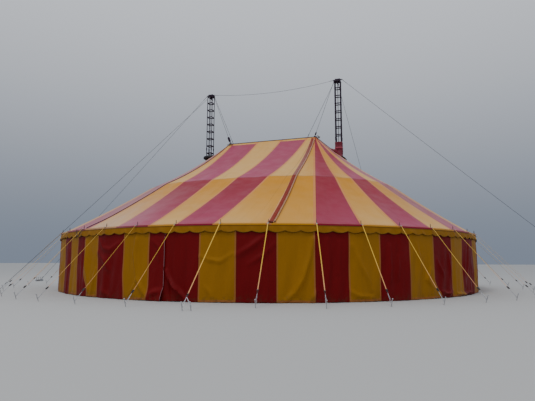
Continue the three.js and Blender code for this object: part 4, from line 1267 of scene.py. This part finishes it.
def peak_line():
    """A line on the roof from the right end of the ridge to the foot of the red sleeve, knotted at the top."""
    places = [(RIDGE_END + 0.16 + share * (KING_X - 0.62 - RIDGE_END), -0.10 - 0.22 * share)
              for share in np.linspace(0, 1, 24)]
    points = [(x, y, roof_under(x, y) + 0.022) for x, y in places]
    line, start = run_along("peak line", points, 0.024, 7), Vector(points[0])
    knot = [ring(0.075, 0.026, start + Vector((0.05, -0.02, 0.05)), (1.2, 0.3, 0)),
            ring(0.05, 0.022, start + Vector((0.16, -0.03, 0.01)), (0.9, -0.5, 0.4), 14)]
    finished(joined("peak_line_right", line, *knot), "lacing_cloth", grey_rope)


seam_rope()
peak_line()


# Side poles inside the wall, and the rope that the wall hangs from
def side_poles(number, first):
    pole = joined("pole", tube(0.030, 0.012, EAVE - 0.004, sides=14), plate((0.13, 0.13, 0.012), (0, 0, 0.006)),
                  tube(0.036, EAVE - 0.10, EAVE - 0.004, sides=14))
    poles = [copy_of(pole, float(bay_angle(bay)), (*on_ring(bay, POLE_CIRCLE), 0))
             for bay in range(first, first + SIXTH)]
    bpy.data.objects.remove(pole)
    finished(joined(f"side_pole_set_{number}", *poles), "galvanised_pole", galvanised, f"side_poles_{number}")
    path = [(*on_ring(bay, POLE_CIRCLE - 0.008), WALL_ROPE - 0.02 * math.sin(math.pi * (bay % 1)))
            for bay in np.arange(first, first + 6.97, 0.25)]
    finished(run_along(f"wall_rope_{number}", path, 0.008, 6), "galvanised_pole", pale_rope)


def quarter_poles(side):
    first = 2 if side == "right" else 2 + HALF
    poles, path = [], []
    for bay in range(first, first + HALF, 3):
        x, y, z = roof_point(bay, RING, 0.0)
        poles += [tube(0.038, 0.014, z - 0.02, (x, y)), plate((0.16, 0.16, 0.014), (x, y, 0.007)),
                  tube(0.05, z - 0.09, z - 0.012, (x, y), 16, 0.006)]
        path.append((x, y, z - 0.17))
    finished(joined(f"quarter_pole_set_{side}", *poles), "galvanised_pole", galvanised, f"quarter_poles_{side}")
    # The rope stops just short of the other side's first pole
    end = Vector(roof_point(first + HALF, RING, -0.17))
    path.append(end + (Vector(path[-1]) - end).normalized() * 0.06)
    finished(run_along(f"ring_rope_{side}", path, 0.009, 6), "galvanised_pole", pale_rope)


for number, first in SIXTHS:
    side_poles(number, first)
for side in SIGN:
    quarter_poles(side)


# Guys: a strap from each pole's plate to a ratchet and a stake
def guy_foot(bay):
    """How far the foot stands out from the pole, and how far to the right of the straight way out."""
    within = bay % HALF
    left = HALF - within
    if within < len(NEAR_RUNS):
        return NEAR_RUNS[within], NEAR_SWINGS[within]
    return (LEFT_RUNS[left - 1], LEFT_SWINGS[left - 1]) if left <= len(LEFT_RUNS) else (GUY_RUN, 0.0)


def eave_plate():
    """The plate that a pole's pin goes through, with the strap's ring."""
    return joined("eave plate", plate((0.14, 0.07, 0.006), (0.029, 0, EAVE + 0.0155)),
                  ring(0.034, 0.006, (0.096, 0, EAVE + 0.006), (0, math.radians(40), 0), 18))


def eave_pin():
    """A side pole's pin with its washer and tip."""
    return joined("pin", tube(0.0125, EAVE + 0.002, EAVE + 0.172, sides=12, bevel=0.004),
                  tube(0.026, EAVE + 0.0185, EAVE + 0.026, bevel=0.001),
                  ring(0.017, 0.006, (0, 0, EAVE + 0.09), sides=12, wire_sides=6))


def ratchet():
    """A strap ratchet lying along X: two side plates, the drum with a few turns of strap, and the folded handle."""
    parts = [plate((0.17, 0.004, 0.045), (0, y, 0), 0.002) for y in (-0.031, 0.031)]
    parts.append(axle((-0.045, 0, 0.004), 0.04, 0.024))
    parts += [plate((0.15, 0.004, 0.03), (0.035, y, 0.032), 0.002) for y in (-0.024, 0.024)]
    parts += [axle((0.105, 0, 0.036), 0.03, 0.009, 8), wheel(0.03, 0.003, (-0.045, 0.037, 0.004), 12, 0),
              axle((0.07, 0, -0.006), 0.036, 0.007, 8)]
    return joined("ratchet", *parts)


def stake():
    """A round stake with a spread head, leaning away from the tent."""
    shaft = tube(0.0145, -0.02, STAKE_HEIGHT, sides=10)
    head = tube(0.027, STAKE_HEIGHT - 0.012, STAKE_HEIGHT + 0.006, sides=12, bevel=0.005)
    whole = shifted(joined("stake", shaft, head), (0, 0, 0), turn_by(STAKE_LEAN, "Y"))
    for vertex in whole.data.vertices:
        vertex.co.z = max(vertex.co.z, 0.0)
    return whole


def guy_pieces(bay, parts):
    """The bright steel, the straps and the dull steel of one guy. X runs from the pole to the foot until the end."""
    out, swing = guy_foot(bay)
    heading = math.atan2(swing, out)
    foot, top = Vector((math.hypot(out, swing), 0, STRAP_FOOT)), Vector((STRAP_TOP, 0, EAVE - 0.012))
    down = (foot - top).normalized()
    ratchet_at = foot - down * RATCHET_BACK
    tilt = turn_by(math.atan2(-down.z, down.x), "Y")
    feet = [foot]
    if bay % HALF == HALF - 1:
        # The guy beside the entrance has a second stake
        feet.append(Vector((*(Matrix.Rotation(-heading, 2) @ Vector(SECOND_STAKE)), STRAP_FOOT)))
    dull = [copy_of(parts["pin"])]
    steel = [copy_of(parts["plate"])]
    dull.append(shifted(copy_of(parts["ratchet"]), ratchet_at, tilt @ Matrix.Scale(RATCHET_SIZE, 4)))
    for place in feet:
        eye = place - down * 0.02
        steel += [copy_of(parts["stake"], shift=(place.x - 0.02, place.y, 0)),
                  ring(0.024, 0.006, eye, sides=12, wire_sides=6)]
        # Two thin bars spread from the ratchet to both sides of the stake
        steel += [bar_between(ratchet_at + down * 0.085, eye + Vector((0, y, 0)), 0.0065, 7) for y in (-0.03, 0.03)]
    width = NARROW_STRAP if HALF - bay % HALF in (2, 3) else STRAP
    loop = [top + Vector((0.014 * math.cos(turn), 0, 0.002 + 0.014 * math.sin(turn)))
            for turn in np.linspace(0, 2 * math.pi, 9)]
    straps = [run_along("strap", [top, ratchet_at - down * 0.045], (width, 0.0035)),
              run_along("loop", loop, (0.038, 0.003))]
    turn = turn_by(float(bay_angle(bay)) + heading)
    for piece in [*steel, *straps, *dull]:
        shifted(piece, (*on_ring(bay, POLE_CIRCLE), 0), turn)
    return steel, straps, dull


def guys(number, first, parts):
    sets = [guy_pieces(bay, parts) for bay in range(first, first + SIXTH)]
    steel, straps, dull = [sum(lists, []) for lists in zip(*sets)]
    finished(joined(f"guy_steel_{number}", *steel), "galvanised_pole", bright_steel)
    finished(joined(f"pole_pins_{number}", *dull), "galvanised_pole", dull_steel)
    finished(joined(f"guy_straps_{number}", *straps), "guy_webbing", guy_yellow, f"guys_{number}")
    path = [(*on_ring(bay, BELT_CIRCLE), EAVE + 0.0105) for bay in np.arange(first - 0.5, first + 6.501, 0.25)]
    belt = run_along(f"eave_belt_{number}", path, (0.05, 0.004))
    finished(belt, "guy_webbing", belt_webbing)


guy_parts = {"plate": eave_plate(), "pin": eave_pin(), "ratchet": ratchet(), "stake": stake()}
for number, first in SIXTHS:
    guys(number, first, guy_parts)
for part in guy_parts.values():
    bpy.data.objects.remove(part)


# Floor, light and camera
def studio():
    bpy.ops.mesh.primitive_plane_add(size=600, location=(0, 0, -0.002))
    floor = bpy.context.object
    floor.name = "floor"
    made, _, shader = blank("plain floor")
    feed(shader, Base_Color=colour(0.50, 0.50, 0.49), Roughness=0.95, Specular_IOR_Level=0.2)
    floor.data.materials.append(made)
    world = bpy.context.scene.world or bpy.data.worlds.new("studio")
    bpy.context.scene.world = world
    world.use_nodes = True
    tree = world.node_tree
    up = node(tree, "SeparateXYZ", Vector=node(tree, "TexCoord").outputs["Generated"]).outputs["Z"]
    sky = mixed(between(up, -0.02, 0.65), colour(0.235, 0.28, 0.36), colour(0.86, 0.89, 0.95))
    feed(tree.nodes["Background"], Color=sky, Strength=0.86)
    lamp = bpy.data.lights.new("soft box", "AREA")
    lamp.shape = "DISK"
    lamp.size = 12
    lamp.energy = 6500
    holder = linked("soft box", lamp)
    holder.location = (0, -27, 44)
    holder.rotation_euler = (Vector((0, 0, 4)) - holder.location).to_track_quat("-Z", "Y").to_euler()


# The camera's fit: its place, its heading, pitch and roll in radians, and its focal length over the picture's width
CAMERA_PLACE = (8.8512, -27.9563, 1.55)
HEADING, PITCH, ROLL = 0.3155, 0.1382, 0.0022
FOCAL_SHARE = 440 / 535
SENSOR_WIDTH = 36.0


def camera():
    data = bpy.data.cameras.new("camera")
    data.sensor_fit = "HORIZONTAL"
    data.sensor_width = SENSOR_WIDTH
    data.lens = SENSOR_WIDTH * FOCAL_SHARE
    data.clip_start, data.clip_end = 0.1, 500
    holder = linked("camera", data)
    ahead = Vector((-math.sin(HEADING) * math.cos(PITCH), math.cos(HEADING) * math.cos(PITCH), math.sin(PITCH)))
    turn = ahead.to_track_quat("-Z", "Y").to_matrix().to_4x4()
    holder.matrix_world = Matrix.Translation(CAMERA_PLACE) @ turn @ turn_by(ROLL)
    bpy.context.scene.camera = holder


studio()
camera()
